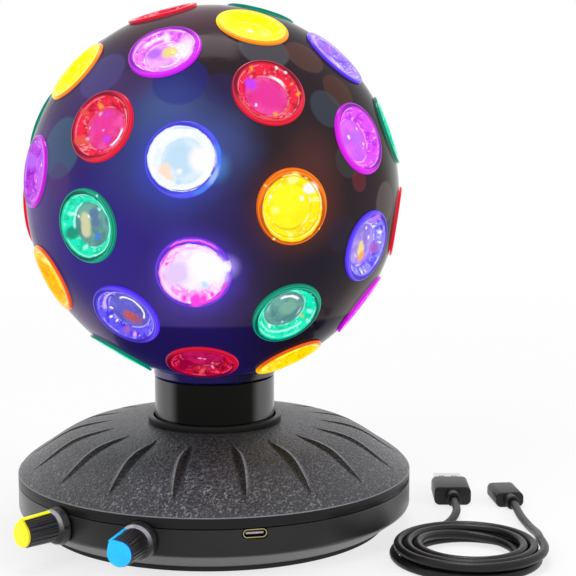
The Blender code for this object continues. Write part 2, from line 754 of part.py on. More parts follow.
def groove_cutter():
    """One leaf: steep along both edges, widest near its inner end, and narrow at both ends."""
    bm = bmesh.new()
    rings = []
    for along, share in GROOVE_SHARES:
        radius = GROOVE_START + along * (GROOVE_END - GROOVE_START)
        surface = dome_height(radius)
        depth = GROOVE_DEPTH * share
        reach = GROOVE_WIDTH / 2 * share
        steep = GROOVE_WALL * share
        flare = steep * OVERRUN / depth
        corners = (
            (radius, steep - reach, surface - depth),
            (radius, reach - steep, surface - depth),
            (radius, reach + flare, surface + OVERRUN),
            (radius, -reach - flare, surface + OVERRUN),
        )
        rings.append([bm.verts.new(corner) for corner in corners])
    for ring, following in zip(rings, rings[1:]):
        for i in range(4):
            j = (i + 1) % 4
            bm.faces.new((ring[i], ring[j], following[j], following[i]))
    bm.faces.new(rings[0])
    bm.faces.new(rings[-1])
    return bm


def make_cover():
    collar = [(COLLAR_INSIDE, COLLAR_TOP), (COLLAR_RADIUS, COLLAR_TOP)]
    outline = collar + dome_points() + [(BASE_RADIUS, SEAM_HEIGHT)] + cover_inside()[::-1]
    grain = plastic("textured_plastic", (0.06, 0.06, 0.062), 0.55)
    cover = place("base_cover", finished("base_cover", turned(outline, BASE_SIDES, closed=True)), grain)
    cutters = []
    for index in range(GROOVE_COUNT):
        turn = GROOVE_PHASE - math.pi / 2 + math.tau * index / GROOVE_COUNT
        cutter = groove_cutter()
        bmesh.ops.rotate(cutter, matrix=Matrix.Rotation(turn, 3, "Z"), verts=list(cutter.verts))
        cutters.append(cutter)
    combine(cover, joined_meshes(cutters), "DIFFERENCE")


def standoff_places():
    """The corners of the board that stand on posts of the tray."""
    reach = BOARD_WIDTH / 2 - STANDOFF_INSET
    front = board_front() - STANDOFF_INSET
    back = board_front() - BOARD_LENGTH + STANDOFF_INSET
    axis = Matrix.Translation(outwards(PORT_AZIMUTH, BASE_RADIUS, PORT_CENTRE))
    frame = axis @ Matrix.Rotation(PORT_AZIMUTH, 4, "Z") @ Matrix.Rotation(math.pi / 2, 4, "X")
    return [frame @ Vector(corner) for corner in ((reach, 0, front), (-reach, 0, back))]


def board_front():
    """How far out the board reaches, from the wall's outside: its corners stay clear of the ledge."""
    return math.sqrt(LEDGE_RADIUS**2 - (BOARD_WIDTH / 2) ** 2) - FIT - BASE_RADIUS


def make_tray():
    """The tray with the ring that carries the neck, standoffs, a port slot and holes for the shafts."""
    boss_top = neck_flange_bottom() - FIT
    ledge_bottom = TRAY_TOP - LEDGE_HEIGHT
    outline = [
        (BOSS_RADIUS - BOSS_WALL, TRAY_FLOOR_TOP),
        (BOSS_RADIUS - BOSS_WALL, boss_top),
        (BOSS_RADIUS, boss_top),
        (BOSS_RADIUS, TRAY_FLOOR_TOP),
        (TRAY_BOTTOM_RADIUS, TRAY_FLOOR_TOP),
        (BASE_INSIDE, CHAMFER_TOP),
        (BASE_INSIDE, ledge_bottom - LEDGE_WIDTH),
        (LEDGE_RADIUS, ledge_bottom),
        (LEDGE_RADIUS, TRAY_TOP + LIP_HEIGHT),
        (LIP_RADIUS, TRAY_TOP + LIP_HEIGHT),
        (LIP_RADIUS, TRAY_TOP),
        (BASE_RADIUS, TRAY_TOP),
        (BASE_RADIUS, CHAMFER_TOP),
        (TRAY_BOTTOM_RADIUS, TRAY_BOTTOM),
    ]
    black = plastic("tray_plastic", (0.05, 0.05, 0.052), 0.5)
    tray = place("base_tray", finished("base_tray", turned(outline, BASE_SIDES)), black)
    board_bottom = PORT_CENTRE + BOARD_TOP - BOARD_THICKNESS
    post = [(STANDOFF_RADIUS, (TRAY_BOTTOM + TRAY_FLOOR_TOP) / 2), (STANDOFF_RADIUS, board_bottom - FIT)]
    for x, y, _ in standoff_places():
        combine(tray, turned(post, 10), "UNION", (x, y, 0))
    depth = BASE_RADIUS - LEDGE_RADIUS + OVERRUN
    slot = stadium(PORT_WIDTH + 2 * PORT_CLEARANCE, PORT_SLOT_HEIGHT)
    place_port = outwards(PORT_AZIMUTH, BASE_RADIUS, PORT_CENTRE)
    combine(tray, extruded(slot, -depth, OVERRUN), "DIFFERENCE", place_port, facing(PORT_AZIMUTH))
    hole_radius = SHAFT_RADIUS + FIT + BUSHING_WALL + FIT
    hole = [(hole_radius, -depth), (hole_radius, OVERRUN)]
    for azimuth in KNOB_AZIMUTHS.values():
        place_hole = outwards(azimuth, BASE_RADIUS, KNOB_HEIGHT)
        combine(tray, turned(hole, SHAFT_SIDES), "DIFFERENCE", place_hole, facing(azimuth))


def make_pad():
    """The foot: a flat rubber disc that the lamp stands on."""
    radius = TRAY_BOTTOM_RADIUS - PAD_STEP
    rubber = plastic("pad_rubber", (0.03, 0.03, 0.03), 0.8)
    outline = [(radius, 0), (radius, PAD_THICKNESS)]
    place("anti_slip_pad", finished("anti_slip_pad", turned(outline, BASE_SIDES)), rubber)


def make_electronics():
    """The control board, and the USB-C socket on its front edge."""
    axis = empty("port_axis", outwards(PORT_AZIMUTH, BASE_RADIUS, PORT_CENTRE), facing(PORT_AZIMUTH))
    steel = plastic("socket_steel", (0.75, 0.68, 0.5), 0.3, metallic=1.0)
    front = -PORT_SET_BACK
    back = front - PORT_LENGTH
    mesh = finished("usb_c_socket", extruded(stadium(PORT_WIDTH, PORT_HEIGHT), back, front))
    socket = place("usb_c_socket", mesh, steel, axis)
    hollow = stadium(PORT_WIDTH - 2 * PORT_WALL, PORT_HEIGHT - 2 * PORT_WALL)
    combine(socket, extruded(hollow, back + PORT_BACK, front + OVERRUN), "DIFFERENCE")
    root = back + PORT_BACK / 2
    tip = back + PORT_BACK + TONGUE_LENGTH
    size = (TONGUE_WIDTH, TONGUE_THICKNESS, tip - root)
    combine(socket, block(size, (0, 0, (root + tip) / 2)), "UNION")

    green = plastic("board_laminate", (0.01, 0.12, 0.05), 0.45)
    centre = (0, BOARD_TOP - BOARD_THICKNESS / 2, board_front() - BOARD_LENGTH / 2)
    board = block((BOARD_WIDTH, BOARD_THICKNESS, BOARD_LENGTH), centre)
    place("control_board", finished("control_board", board), green, axis)


# Knobs


def fluted(radius, depth, sides, height):
    """A ring of points whose radius alternates, as flutes do."""
    points = []
    for side in range(sides):
        angle = math.tau * side / sides
        reach = radius - depth * (side % 2)
        points.append((reach * math.cos(angle), reach * math.sin(angle), height))
    return points


def knob_mesh(name):
    """From the bore's floor back to the skirt, and out along the fluted grip."""
    bore = SHAFT_RADIUS + FIT
    skirt_top = KNOB_GAP + SKIRT_HEIGHT
    grip_start = skirt_top + SKIRT_CHAMFER
    sections = (
        (bore, 0, KNOB_GAP + KNOB_BORE_DEPTH),
        (bore, 0, KNOB_GAP),
        (SKIRT_RADIUS, 0, KNOB_GAP),
        (SKIRT_TOP_RADIUS, 0, skirt_top),
        (GRIP_RADIUS, GRIP_FLUTE, grip_start),
        (GRIP_END_RADIUS, GRIP_FLUTE, grip_start + GRIP_LENGTH),
    )
    bm = bmesh.new()
    rings = []
    for radius, depth, height in sections:
        rings.append([bm.verts.new(point) for point in fluted(radius, depth, KNOB_SIDES, height)])
    for ring, following in zip(rings, rings[1:]):
        for i in range(KNOB_SIDES):
            j = (i + 1) % KNOB_SIDES
            bm.faces.new((ring[i], ring[j], following[j], following[i]))
    bm.faces.new(rings[0])
    bm.faces.new(rings[-1])
    return finished(name, bm)


def make_knob(colour, shade):
    """A knob with its coloured cap and shaft, which turn, and the potentiometer, which doesn't."""
    azimuth = KNOB_AZIMUTHS[colour]
    location = outwards(azimuth, BASE_RADIUS, KNOB_HEIGHT)
    axis = empty(colour + "_knob_axis", location, facing(azimuth))
    turn = (0, 0, KNOB_TURNS[colour])
    body = plastic(colour + "_knob_body", (0.015, 0.015, 0.016), 0.35)
    place(colour + "_knob", knob_mesh(colour + "_knob"), body, axis, rotation=turn)

    skirt_end = KNOB_GAP + SKIRT_HEIGHT + SKIRT_CHAMFER
    cap_bottom = skirt_end + GRIP_LENGTH + FIT
    cap_top = cap_bottom + CAP_THICKNESS
    paint = plastic(colour + "_cap", shade, 0.3)
    mesh = finished(colour + "_knob_cap", turned([(CAP_RADIUS, cap_bottom), (CAP_RADIUS, cap_top)], 20))
    cap = place(colour + "_knob_cap", mesh, paint, axis, rotation=turn)
    inner = GRIP_RADIUS + FIT
    inner_end = GRIP_END_RADIUS + FIT
    arm_top = cap_top - POINTER_SET_BACK
    strip_start = skirt_end + FIT
    arm = [
        (0, cap_bottom),
        (inner_end, cap_bottom),
        (inner, strip_start),
        (inner + POINTER_THICKNESS, strip_start),
        (inner_end + POINTER_THICKNESS, arm_top),
        (0, arm_top),
    ]
    pointer = extruded(arm, -POINTER_WIDTH / 2, POINTER_WIDTH / 2)
    upright = Matrix(((0, 0, 1), (1, 0, 0), (0, 1, 0)))
    bmesh.ops.transform(pointer, matrix=upright.to_4x4(), verts=list(pointer.verts))
    combine(cap, pointer, "UNION", rotation=turn)

    front = math.sqrt(LEDGE_RADIUS**2 - (POT_SIZE / 2) ** 2) - BASE_RADIUS - FIT
    shaft_start = front - POT_BORE_DEPTH + FIT
    shaft_end = KNOB_GAP + KNOB_BORE_DEPTH - FIT
    steel = plastic(colour + "_shaft_metal", (0.6, 0.6, 0.62), 0.3, metallic=1.0)
    shaft = turned([(SHAFT_RADIUS, shaft_start), (SHAFT_RADIUS, shaft_end)], SHAFT_SIDES)
    place(colour + "_knob_shaft", finished(colour + "_knob_shaft", shaft), steel, axis, rotation=turn)

    case = plastic(colour + "_pot_case", (0.08, 0.07, 0.05), 0.5)
    housing = block((POT_SIZE, POT_SIZE, POT_DEPTH), (0, 0, front - POT_DEPTH / 2))
    pot = place(colour + "_potentiometer", finished(colour + "_potentiometer", housing), case, axis)
    bore = SHAFT_RADIUS + FIT
    bushing = [(bore + BUSHING_WALL, front - POT_BORE_DEPTH), (bore + BUSHING_WALL, KNOB_GAP / 2)]
    combine(pot, turned(bushing, SHAFT_SIDES), "UNION")
    hole = [(bore, front - POT_BORE_DEPTH), (bore, KNOB_GAP + OVERRUN)]
    combine(pot, turned(hole, SHAFT_SIDES), "DIFFERENCE")


# USB cable


def coil_points():
    """Loops that wind in on the table and out again on top, with a straight diameter at each end."""
    turns = (COIL_END - COIL_START) / math.tau
    count = round(turns * COIL_LOOP_POINTS)
    inside = COIL_RADIUS - COIL_PITCH * turns / 2
    low = CORD_RADIUS
    high = CORD_RADIUS + COIL_PITCH
    points = []
    for index in range(count + 1):
        angle = COIL_START + math.tau * turns * index / count
        past = turns * index / count - turns / 2
        climb = min(max(past * 2 + 0.5, 0), 1)
        radius = inside + COIL_PITCH * abs(past)
        height = low + (high - low) * climb
        points.append(
            Vector((COIL_CENTRE[0] + radius * math.cos(angle), COIL_CENTRE[1] + radius * math.sin(angle), height))
        )
    back = Vector((math.sin(COIL_START), -math.cos(COIL_START), 0))
    ahead = Vector((-math.sin(COIL_END), math.cos(COIL_END), 0))
    diameter = 2 * CORD_RADIUS
    return [points[0] + back * diameter] + points + [points[-1] + ahead * diameter]


def smooth_route(stops, step):
    """Points a step apart on a smooth curve through the stops."""
    ends = [stops[0] * 2 - stops[1]] + stops + [stops[-1] * 2 - stops[-2]]
    points = []
    for a, b, c, d in zip(ends, ends[1:], ends[2:], ends[3:]):
        parts = max(2, round((c - b).length / step))
        for index in range(parts):
            t = index / parts
            points.append(
                (b * 2 + (c - a) * t + (a * 2 - b * 5 + c * 4 - d) * t**2 + (b * 3 - a - c * 3 + d) * t**3) / 2
            )
    return points + [stops[-1]]


def cord(name, points, resolution):
    curve = bpy.data.curves.new(name, "CURVE")
    curve.dimensions = "3D"
    curve.bevel_depth = CORD_RADIUS
    curve.bevel_resolution = resolution
    curve.use_fill_caps = True
    spline = curve.splines.new("POLY")
    spline.points.add(len(points) - 1)
    for target, point in zip(spline.points, points):
        target.co = (*point, 1)
    curve.materials.append(plastic(name + "_jacket", (0.02, 0.02, 0.02), 0.45))
    bpy.context.scene.collection.objects.link(bpy.data.objects.new(name, curve))


def length_of(points):
    return sum((b - a).length for a, b in zip(points, points[1:]))


def least_gap(points):
    """The least clear distance between stretches of the tube that lie over half a loop apart."""
    apart = COIL_LOOP_POINTS // 2
    gaps = [(b - a).length for i, a in enumerate(points) for b in points[i + apart :]]
    return min(gaps) - 2 * CORD_RADIUS


def plug_frame(place_on_table, height, azimuth):
    turn = Matrix.Rotation(azimuth, 4, "Z") @ Matrix.Rotation(math.pi / 2, 4, "X")
    return Matrix.Translation((*place_on_table, height)) @ turn


def make_grip(name, size, collar_radius, collar_length, axis, material):
    """The moulded grip, with the collar that the cord comes out of behind it."""
    grip = place(name, finished(name, block(size, (0, 0, size[2] / 2))), material, axis)
    rounding = grip.modifiers.new("rounding", "BEVEL")
    rounding.width = PLUG_ROUNDING
    rounding.segments = 2
    collar = [(collar_radius, -collar_length), (collar_radius, size[2] / 2)]
    combine(grip, turned(collar, 12), "UNION")


def make_usb_a():
    """The USB-A plug: grip, steel shell with two latch windows, and the tongue in it."""
    width, height, length = USB_A_SHELL
    location = (*USB_A_PLACE, USB_A_GRIP[1] / 2)
    axis = empty("usb_a_axis", location, facing(USB_A_AZIMUTH))
    black = plastic("usb_a_moulding", (0.02, 0.02, 0.02), 0.4)
    make_grip("usb_a_grip", USB_A_GRIP, USB_A_COLLAR_RADIUS, USB_A_COLLAR_LENGTH, axis, black)
    start = USB_A_GRIP[2] + FIT
    steel = plastic("usb_a_steel", (0.75, 0.74, 0.72), 0.25, metallic=1.0)
    mesh = finished("usb_a_shell", block(USB_A_SHELL, (0, 0, start + length / 2)))
    shell = place("usb_a_shell", mesh, steel, axis)
    inside = (width - 2 * PLUG_WALL, height - 2 * PLUG_WALL, length)
    combine(shell, block(inside, (0, 0, start + PLUG_BACK + length / 2)), "DIFFERENCE")
    windows = []
    for side in (-1, 1):
        centre = (side * USB_A_WINDOW_SPREAD / 2, height / 2, start + length / 2)
        windows.append(block((USB_A_WINDOW, height / 2, USB_A_WINDOW), centre))
    combine(shell, joined_meshes(windows), "DIFFERENCE")
    white = plastic("usb_a_tongue_plastic", (0.85, 0.85, 0.85), 0.4)
    centre = (
        0,
        PLUG_WALL + FIT - height / 2 + USB_A_TONGUE[1] / 2,
        start + PLUG_BACK + FIT + USB_A_TONGUE[2] / 2,
    )
    place("usb_a_tongue", finished("usb_a_tongue", block(USB_A_TONGUE, centre)), white, axis)


def make_usb_c():
    """The USB-C plug: grip and hollow steel shell."""
    width, height, length = USB_C_SHELL
    location = (*USB_C_PLACE, USB_C_GRIP[1] / 2)
    axis = empty("usb_c_axis", location, facing(USB_C_AZIMUTH))
    black = plastic("usb_c_moulding", (0.02, 0.02, 0.02), 0.4)
    make_grip("usb_c_grip", USB_C_GRIP, USB_C_COLLAR_RADIUS, USB_C_COLLAR_LENGTH, axis, black)
    start = USB_C_GRIP[2] + FIT
    steel = plastic("usb_c_steel", (0.7, 0.7, 0.7), 0.25, metallic=1.0)
    shell = finished("usb_c_shell", extruded(stadium(width, height), start, start + length))
    hollow = stadium(width - 2 * PLUG_WALL, height - 2 * PLUG_WALL)
    plug = place("usb_c_shell", shell, steel, axis)
    combine(plug, extruded(hollow, start + PLUG_BACK, start + length + OVERRUN), "DIFFERENCE")


def collar_end(place_on_table, height, azimuth, collar_length):
    """Where the cord ends behind a plug's collar, and a point one diameter further back."""
    frame = plug_frame(place_on_table, height, azimuth)
    end = frame @ Vector((0, 0, -collar_length - FIT))
    return [frame @ Vector((0, 0, -collar_length - FIT - 2 * CORD_RADIUS)), end]


def make_cable():
    coil = coil_points()
    cord("cable_coil", coil, 1)
    leads = (
        ("usb_a_lead", coil[:2], USB_A_ROUTE, USB_A_PLACE, USB_A_GRIP, USB_A_AZIMUTH, USB_A_COLLAR_LENGTH),
        ("usb_c_lead", coil[:-3:-1], USB_C_ROUTE, USB_C_PLACE, USB_C_GRIP, USB_C_AZIMUTH, USB_C_COLLAR_LENGTH),
    )
    total = length_of(coil)
    for name, (tip, before), route, spot, grip, azimuth, collar in leads:
        away = (tip - before).normalized()
        start = tip + away * FIT
        ends = collar_end(spot, grip[1] / 2, azimuth, collar)
        stops = [start, start + away * 2 * CORD_RADIUS] + [Vector(stop) for stop in route] + ends
        points = smooth_route(stops, CORD_STEP)
        cord(name, points, 2)
        total += length_of(points)
        print(f"{name} is {length_of(points):.3f} m long")
    print(f"the cord is {total:.3f} m long, and its coil's least gap to itself is {least_gap(coil):.5f} m")
    make_usb_a()
    make_usb_c()


def main():
    clear_scene()
    make_ball()
    make_drive()
    make_neck()
    make_led_post()
    make_cover()
    make_tray()
    make_pad()
    make_electronics()
    make_knob("yellow", (0.95, 0.95, 0.0))
    make_knob("blue", (0.0, 0.62, 0.98))
    make_cable()


main()
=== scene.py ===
import math

import bmesh
import bpy
from mathutils import Matrix, Vector


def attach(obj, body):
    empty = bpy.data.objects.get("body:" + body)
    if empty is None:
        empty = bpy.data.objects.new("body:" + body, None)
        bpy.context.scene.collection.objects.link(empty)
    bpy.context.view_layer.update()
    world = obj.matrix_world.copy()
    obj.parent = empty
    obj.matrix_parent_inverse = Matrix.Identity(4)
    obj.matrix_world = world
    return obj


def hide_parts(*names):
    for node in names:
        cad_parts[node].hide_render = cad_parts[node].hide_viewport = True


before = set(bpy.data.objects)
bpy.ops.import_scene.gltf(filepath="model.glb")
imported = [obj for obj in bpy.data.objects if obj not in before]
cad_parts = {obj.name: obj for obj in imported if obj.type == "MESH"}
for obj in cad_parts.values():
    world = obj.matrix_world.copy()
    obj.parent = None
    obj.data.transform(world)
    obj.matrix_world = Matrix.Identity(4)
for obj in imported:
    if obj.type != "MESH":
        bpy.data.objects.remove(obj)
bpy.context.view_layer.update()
print("frame loaded")

# Camera, fitted to the photograph: metres, degrees, and millimetres for the lens
view = {"place": (0.00982, -0.61513, 0.1802), "down": 7.734, "right": 1.901, "lens": 94.93, "sensor": 36,
        "near": 0.01}
camera = bpy.data.objects.new("camera", bpy.data.cameras.new("camera"))
camera.location = view["place"]
camera.rotation_euler = (math.radians(90 - view["down"]), 0, math.radians(-view["right"]))
camera.data.lens = view["lens"]
camera.data.sensor_width = view["sensor"]
camera.data.clip_start = view["near"]
bpy.context.scene.collection.objects.link(camera)
bpy.context.scene.camera = camera
bpy.context.scene.view_settings.view_transform = "Standard"


# Colours are written as the screen shows them, 0 to 255
def tint(red, green, blue):
    shares = [value / 255 for value in (red, green, blue)]
    return [s / 12.92 if s < 0.04045 else ((s + 0.055) / 1.055) ** 2.4 for s in shares] + [1]


def dimmed(colour, share):
    return [value * share for value in colour[:3]] + [1]


dark = (0, 0, 0, 1)


# Places on the base: azimuth from the front, towards the right
def outwards(azimuth, reach, height):
    angle = math.radians(azimuth)
    return Vector((reach * math.sin(angle), -reach * math.cos(angle), height))


# A frame whose Z points along the azimuth and whose Y points up
def facing(place, azimuth):
    turn = Matrix.Rotation(math.radians(azimuth), 4, "Z") @ Matrix.Rotation(math.pi / 2, 4, "X")
    return Matrix.Translation(place) @ turn


# Node helpers
def addNode(tree, kind, inputs, output=0, **settings):
    node = tree.nodes.new("ShaderNode" + kind)
    for key, value in settings.items():
        setattr(node, key, value)
    wire(tree, node, inputs)
    return node.outputs[output]


def wire(tree, node, inputs):
    for socket, value in inputs.items():
        if isinstance(value, bpy.types.NodeSocket):
            tree.links.new(value, node.inputs[socket])
        else:
            node.inputs[socket].default_value = value


def newFinish(name, inputs):
    material = bpy.data.materials.new(name)
    material.use_nodes = True
    tree = material.node_tree
    shader = tree.nodes["Principled BSDF"]
    wire(tree, shader, inputs)
    return material, tree, shader


def calc(tree, operation, first, second=0.0, third=0.0):
    return addNode(tree, "Math", {0: first, 1: second, 2: third}, operation=operation)


def times(tree, first, second):
    return calc(tree, "MULTIPLY", first, second)


def combine(tree, operation, first, second=(0, 0, 0)):  # a vector from vectors
    return addNode(tree, "VectorMath", {0: first, 1: second}, operation=operation)


def measure(tree, operation, first, second=(0, 0, 0)):  # a number from vectors
    return addNode(tree, "VectorMath", {0: first, 1: second}, "Value", operation=operation)


def along(tree, place, axis):
    return addNode(tree, "SeparateXYZ", {0: place}, axis)


def blend(tree, share, first, second):
    return addNode(tree, "Mix", {0: share, 6: first, 7: second}, 2, data_type="RGBA")


def ease(tree, value, start, end, low=0.0, high=1.0):
    inputs = {"Value": value, "From Min": start, "From Max": end, "To Min": low, "To Max": high}
    return addNode(tree, "MapRange", inputs, interpolation_type="SMOOTHSTEP")


def band(tree, value, start, full, late, end):  # rises from start to full, falls from late to end
    return times(tree, ease(tree, value, start, full), ease(tree, value, end, late))


def ramp(tree, value, stops):
    node = tree.nodes.new("ShaderNodeValToRGB")
    for index, (place, colour) in enumerate(stops):
        if index < 2:
            stop = node.color_ramp.elements[index]
            stop.position = place
        else:
            stop = node.color_ramp.elements.new(place)
        stop.color = colour
    tree.links.new(value, node.inputs[0])
    return node.outputs[0]


def objectPlace(tree, shift=(0, 0, 0)):
    place = addNode(tree, "TexCoord", {}, "Object")
    return addNode(tree, "Mapping", {"Vector": place, "Location": shift})


def grain(tree, place, scale, detail=2.0, roughness=0.5):
    inputs = {"Vector": place, "Scale": scale, "Detail": detail, "Roughness": roughness}
    return addNode(tree, "TexNoise", inputs)


def shaken(tree, share, place, noise):  # a place pushed about by a noise
    return addNode(tree, "MixRGB", {0: share, 1: place, 2: noise}, blend_type="ADD")


def bump(tree, shader, height, depth, strength=1.0):
    normal = addNode(tree, "Bump", {"Height": height, "Distance": depth, "Strength": strength})
    tree.links.new(normal, shader.inputs["Normal"])


# A mottled surface. Patches and relief are (scale, detail), gloss has its limits and range after them.
def mottled(name, stops, patches, gloss=None, relief=None, depth=0.0, inputs=None):
    material, tree, shader = newFinish(name, inputs or {})
    place = objectPlace(tree)
    wire(tree, shader, {"Base Color": ramp(tree, grain(tree, place, *patches), stops)})
    if gloss:
        wire(tree, shader, {"Roughness": ease(tree, grain(tree, place, *gloss[:2]), *gloss[2:])})
    if relief:
        bump(tree, shader, grain(tree, place, *relief), depth)
    return material, tree, shader


def baseColour(shader):  # what is linked there so far
    return shader.inputs["Base Color"].links[0].from_socket


# Shape helpers
def softened(corners, parts=4):  # corners are (across, up), and those that are rounded have a reach too
    points = []
    for index, (across, up, *reach) in enumerate(corners):
        here = Vector((across, up))
        if not reach:
            points.append(here)
            continue
        before = Vector(corners[index - 1][:2])
        after = Vector(corners[(index + 1) % len(corners)][:2])
        start = here + (before - here).normalized() * reach[0]
        end = here + (after - here).normalized() * reach[0]
        for step in range(parts + 1):
            t = step / parts
            points.append(start * (1 - t) ** 2 + here * 2 * t * (1 - t) + end * t * t)
    return points


def spun(outline, steps, closed=False):
    bm = bmesh.new()
    verts = [bm.verts.new((across, 0, up)) for across, up in outline]
    edges = [bm.edges.new(pair) for pair in zip(verts, verts[1:])]
    if closed:
        edges.append(bm.edges.new((verts[-1], verts[0])))
    turn = {"cent": (0, 0, 0), "axis": (0, 0, 1), "angle": math.tau, "steps": steps, "use_merge": True}
    bmesh.ops.spin(bm, geom=verts + edges, **turn)
    bmesh.ops.remove_doubles(bm, verts=list(bm.verts), dist=0.000002)
    bmesh.ops.recalc_face_normals(bm, faces=list(bm.faces))
    return bm


def moved(bm, matrix):
    bmesh.ops.transform(bm, matrix=matrix, verts=list(bm.verts))
    return bm


def rounded(bm, edges, width, segments=3):
    how = {"affect": "EDGES", "segments": segments, "profile": 0.5, "material": -1}
    bmesh.ops.bevel(bm, geom=edges, offset=width, offset_type="OFFSET", clamp_overlap=True, **how)


def drawn(bm, face, rise, keep=False):  # draws a face along Z
    grown = bmesh.ops.extrude_face_region(bm, geom=[face], use_keep_orig=keep)
    verts = [item for item in grown["geom"] if isinstance(item, bmesh.types.BMVert)]
    bmesh.ops.translate(bm, verts=verts, vec=(0, 0, rise))


def extruded(outline, low, high):  # a flat outline drawn up along Z
    bm = bmesh.new()
    bottom = bm.faces.new([bm.verts.new((x, y, low)) for x, y in outline])
    drawn(bm, bottom, high - low, True)
    bmesh.ops.recalc_face_normals(bm, faces=list(bm.faces))
    return bm


def hollowed(bm, rim, depth):  # opens the top face, down to a blind end
    top = max(bm.faces, key=lambda face: face.calc_center_median().z)
    bmesh.ops.inset_region(bm, faces=[top], thickness=rim, use_even_offset=True)
    drawn(bm, top, -depth)
    bmesh.ops.delete(bm, geom=[top], context="FACES")
    bmesh.ops.recalc_face_normals(bm, faces=list(bm.faces))
    return bm


def stadium(width, height, steps=12):
    reach = height / 2
    points = []
    for side in (1, -1):
        for step in range(steps + 1):
            angle = math.pi * (step / steps - 0.5)
            across = width / 2 - reach + reach * math.cos(angle)
            points.append((side * across, side * reach * math.sin(angle)))
    return points


def box(size, centre):
    bm = bmesh.new()
    bmesh.ops.create_cube(bm, size=1, matrix=Matrix.Translation(centre) @ Matrix.Diagonal((*size, 1)))
    return bm


def upright(bm):  # the edges that run along Z
    return [edge for edge in bm.edges if abs((edge.verts[0].co - edge.verts[1].co).z) > 0.001]


def joined(parts):
    mesh = bpy.data.meshes.new("parts")
    bm = bmesh.new()
    for part in parts:
        part.to_mesh(mesh)
        part.free()
        bm.from_mesh(mesh)
    bpy.data.meshes.remove(mesh)
    return bm


def carved(bm, cutter):  # takes the cutter's space out of the shape
    things = []
    for name, shape in (("carvedShape", bm), ("cutter", cutter)):
        mesh = bpy.data.meshes.new(name)
        shape.to_mesh(mesh)
        shape.free()
        thing = bpy.data.objects.new(name, mesh)
        bpy.context.scene.collection.objects.link(thing)
        things.append(thing)
    cut = things[0].modifiers.new("cut", "BOOLEAN")
    cut.operation = "DIFFERENCE"
    cut.solver = "EXACT"
    cut.object = things[1]
    ready = things[0].evaluated_get(bpy.context.evaluated_depsgraph_get())
    result = bmesh.new()
    result.from_mesh(ready.to_mesh())
    ready.to_mesh_clear()
    for thing in things:
        bpy.data.meshes.remove(thing.data)
    return result


def finishPiece(name, bm, material, body, nodes=(), sharp=35):
    mesh = bpy.data.meshes.new(name)
    bm.to_mesh(mesh)
    bm.free()
    mesh.shade_smooth()
    mesh.set_sharp_from_angle(angle=math.radians(sharp))
    mesh.materials.append(material)
    piece = bpy.data.objects.new(name, mesh)
    bpy.context.scene.collection.objects.link(piece)
    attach(piece, body)
    if nodes:
        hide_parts(*nodes)
    return piece


# USB cable: one cord from plug to plug, with its coil beside the lamp
cable = {
    "radius": 0.0017, "coil": (0.097, -0.058), "coilRadius": 0.0288, "pitch": 0.0039, "start": 130,
    "end": 2160, "loopPoints": 48, "step": 0.0034, "gap": 0.0003,
    "routeA": ((0.0845, -0.0300, 0.0017), (0.0945, -0.0185, 0.0021), (0.1000, -0.0055, 0.0033)),
    "routeC": ((0.1266, -0.0420, 0.0048), (0.1265, -0.0270, 0.0031), (0.1259, -0.0110, 0.0028)),
}
plug = {"corner": 0.0024, "edge": 0.0005, "hole": 0.00025, "lip": 0.0004, "overlap": 0.001, "mouth": 0.0012,
        "wall": 0.0003, "back": 0.0008}
plugA = {
    "place": (0.1015, 0.016), "azimuth": 177, "grip": (0.0157, 0.008, 0.0182), "collarRadius": 0.00315,
    "collarLength": 0.0058, "shell": (0.012, 0.0045, 0.012), "window": 0.0025, "windowSpread": 0.0055,
    "notch": (0.0013, 0.0003, 0.0011), "notchUp": 0.0021, "tongue": (0.0108, 0.0018, 0.0108),
    "tongueGap": 0.0006, "contact": (0.0011, 0.0001, 0.0085), "contactMiddle": 0.0058,
    "contactsAt": (-0.0035, -0.00115, 0.00115, 0.0035),
}
plugC = {"place": (0.1255, 0.012), "azimuth": 184, "grip": (0.012, 0.0065, 0.017),
         "shell": (0.00834, 0.00256, 0.0065), "collarRadius": 0.00295, "collarLength": 0.0049}


def coilPoints():
    start, end = math.radians(cable["start"]), math.radians(cable["end"])
    turns = (end - start) / math.tau
    count = round(turns * cable["loopPoints"])
    inside = cable["coilRadius"] - cable["pitch"] * turns / 2
    points = []
    for index in range(count + 1):
        angle = start + math.tau * turns * index / count
        past = turns * index / count - turns / 2
        climb = min(max(past * 2 + 0.5, 0), 1)
        reach = inside + cable["pitch"] * abs(past)
        x = cable["coil"][0] + reach * math.cos(angle)
        y = cable["coil"][1] + reach * math.sin(angle)
        points.append(Vector((x, y, cable["radius"] + cable["pitch"] * climb)))
    first = points[0] + Vector((math.sin(start), -math.cos(start), 0)) * cable["radius"] * 2
    last = points[-1] + Vector((-math.sin(end), math.cos(end), 0)) * cable["radius"] * 2
    return [first] + points + [last]


def smoothRoute(stops, step):
    ends = [stops[0] * 2 - stops[1]] + stops + [stops[-1] * 2 - stops[-2]]
    points = []
    for a, b, c, d in zip(ends, ends[1:], ends[2:], ends[3:]):
        parts = max(2, round((c - b).length / step))
        for index in range(parts):
            t = index / parts
            bend = (a * 2 - b * 5 + c * 4 - d) * t**2 + (b * 3 - a - c * 3 + d) * t**3
            points.append((b * 2 + (c - a) * t + bend) / 2)
    return points + [stops[-1]]


def plugFrame(end):
    return facing((*end["place"], end["grip"][1] / 2), end["azimuth"])


def leadPoints(tip, before, route, end):
    away = (tip - before).normalized()
    start = tip + away * cable["gap"]
    back = -end["collarLength"] - cable["gap"]
    ends = [plugFrame(end) @ Vector((0, 0, height)) for height in (back - cable["radius"] * 2, back)]
    stops = [start, start + away * cable["radius"] * 2] + [Vector(stop) for stop in route] + ends
    return smoothRoute(stops, cable["step"])


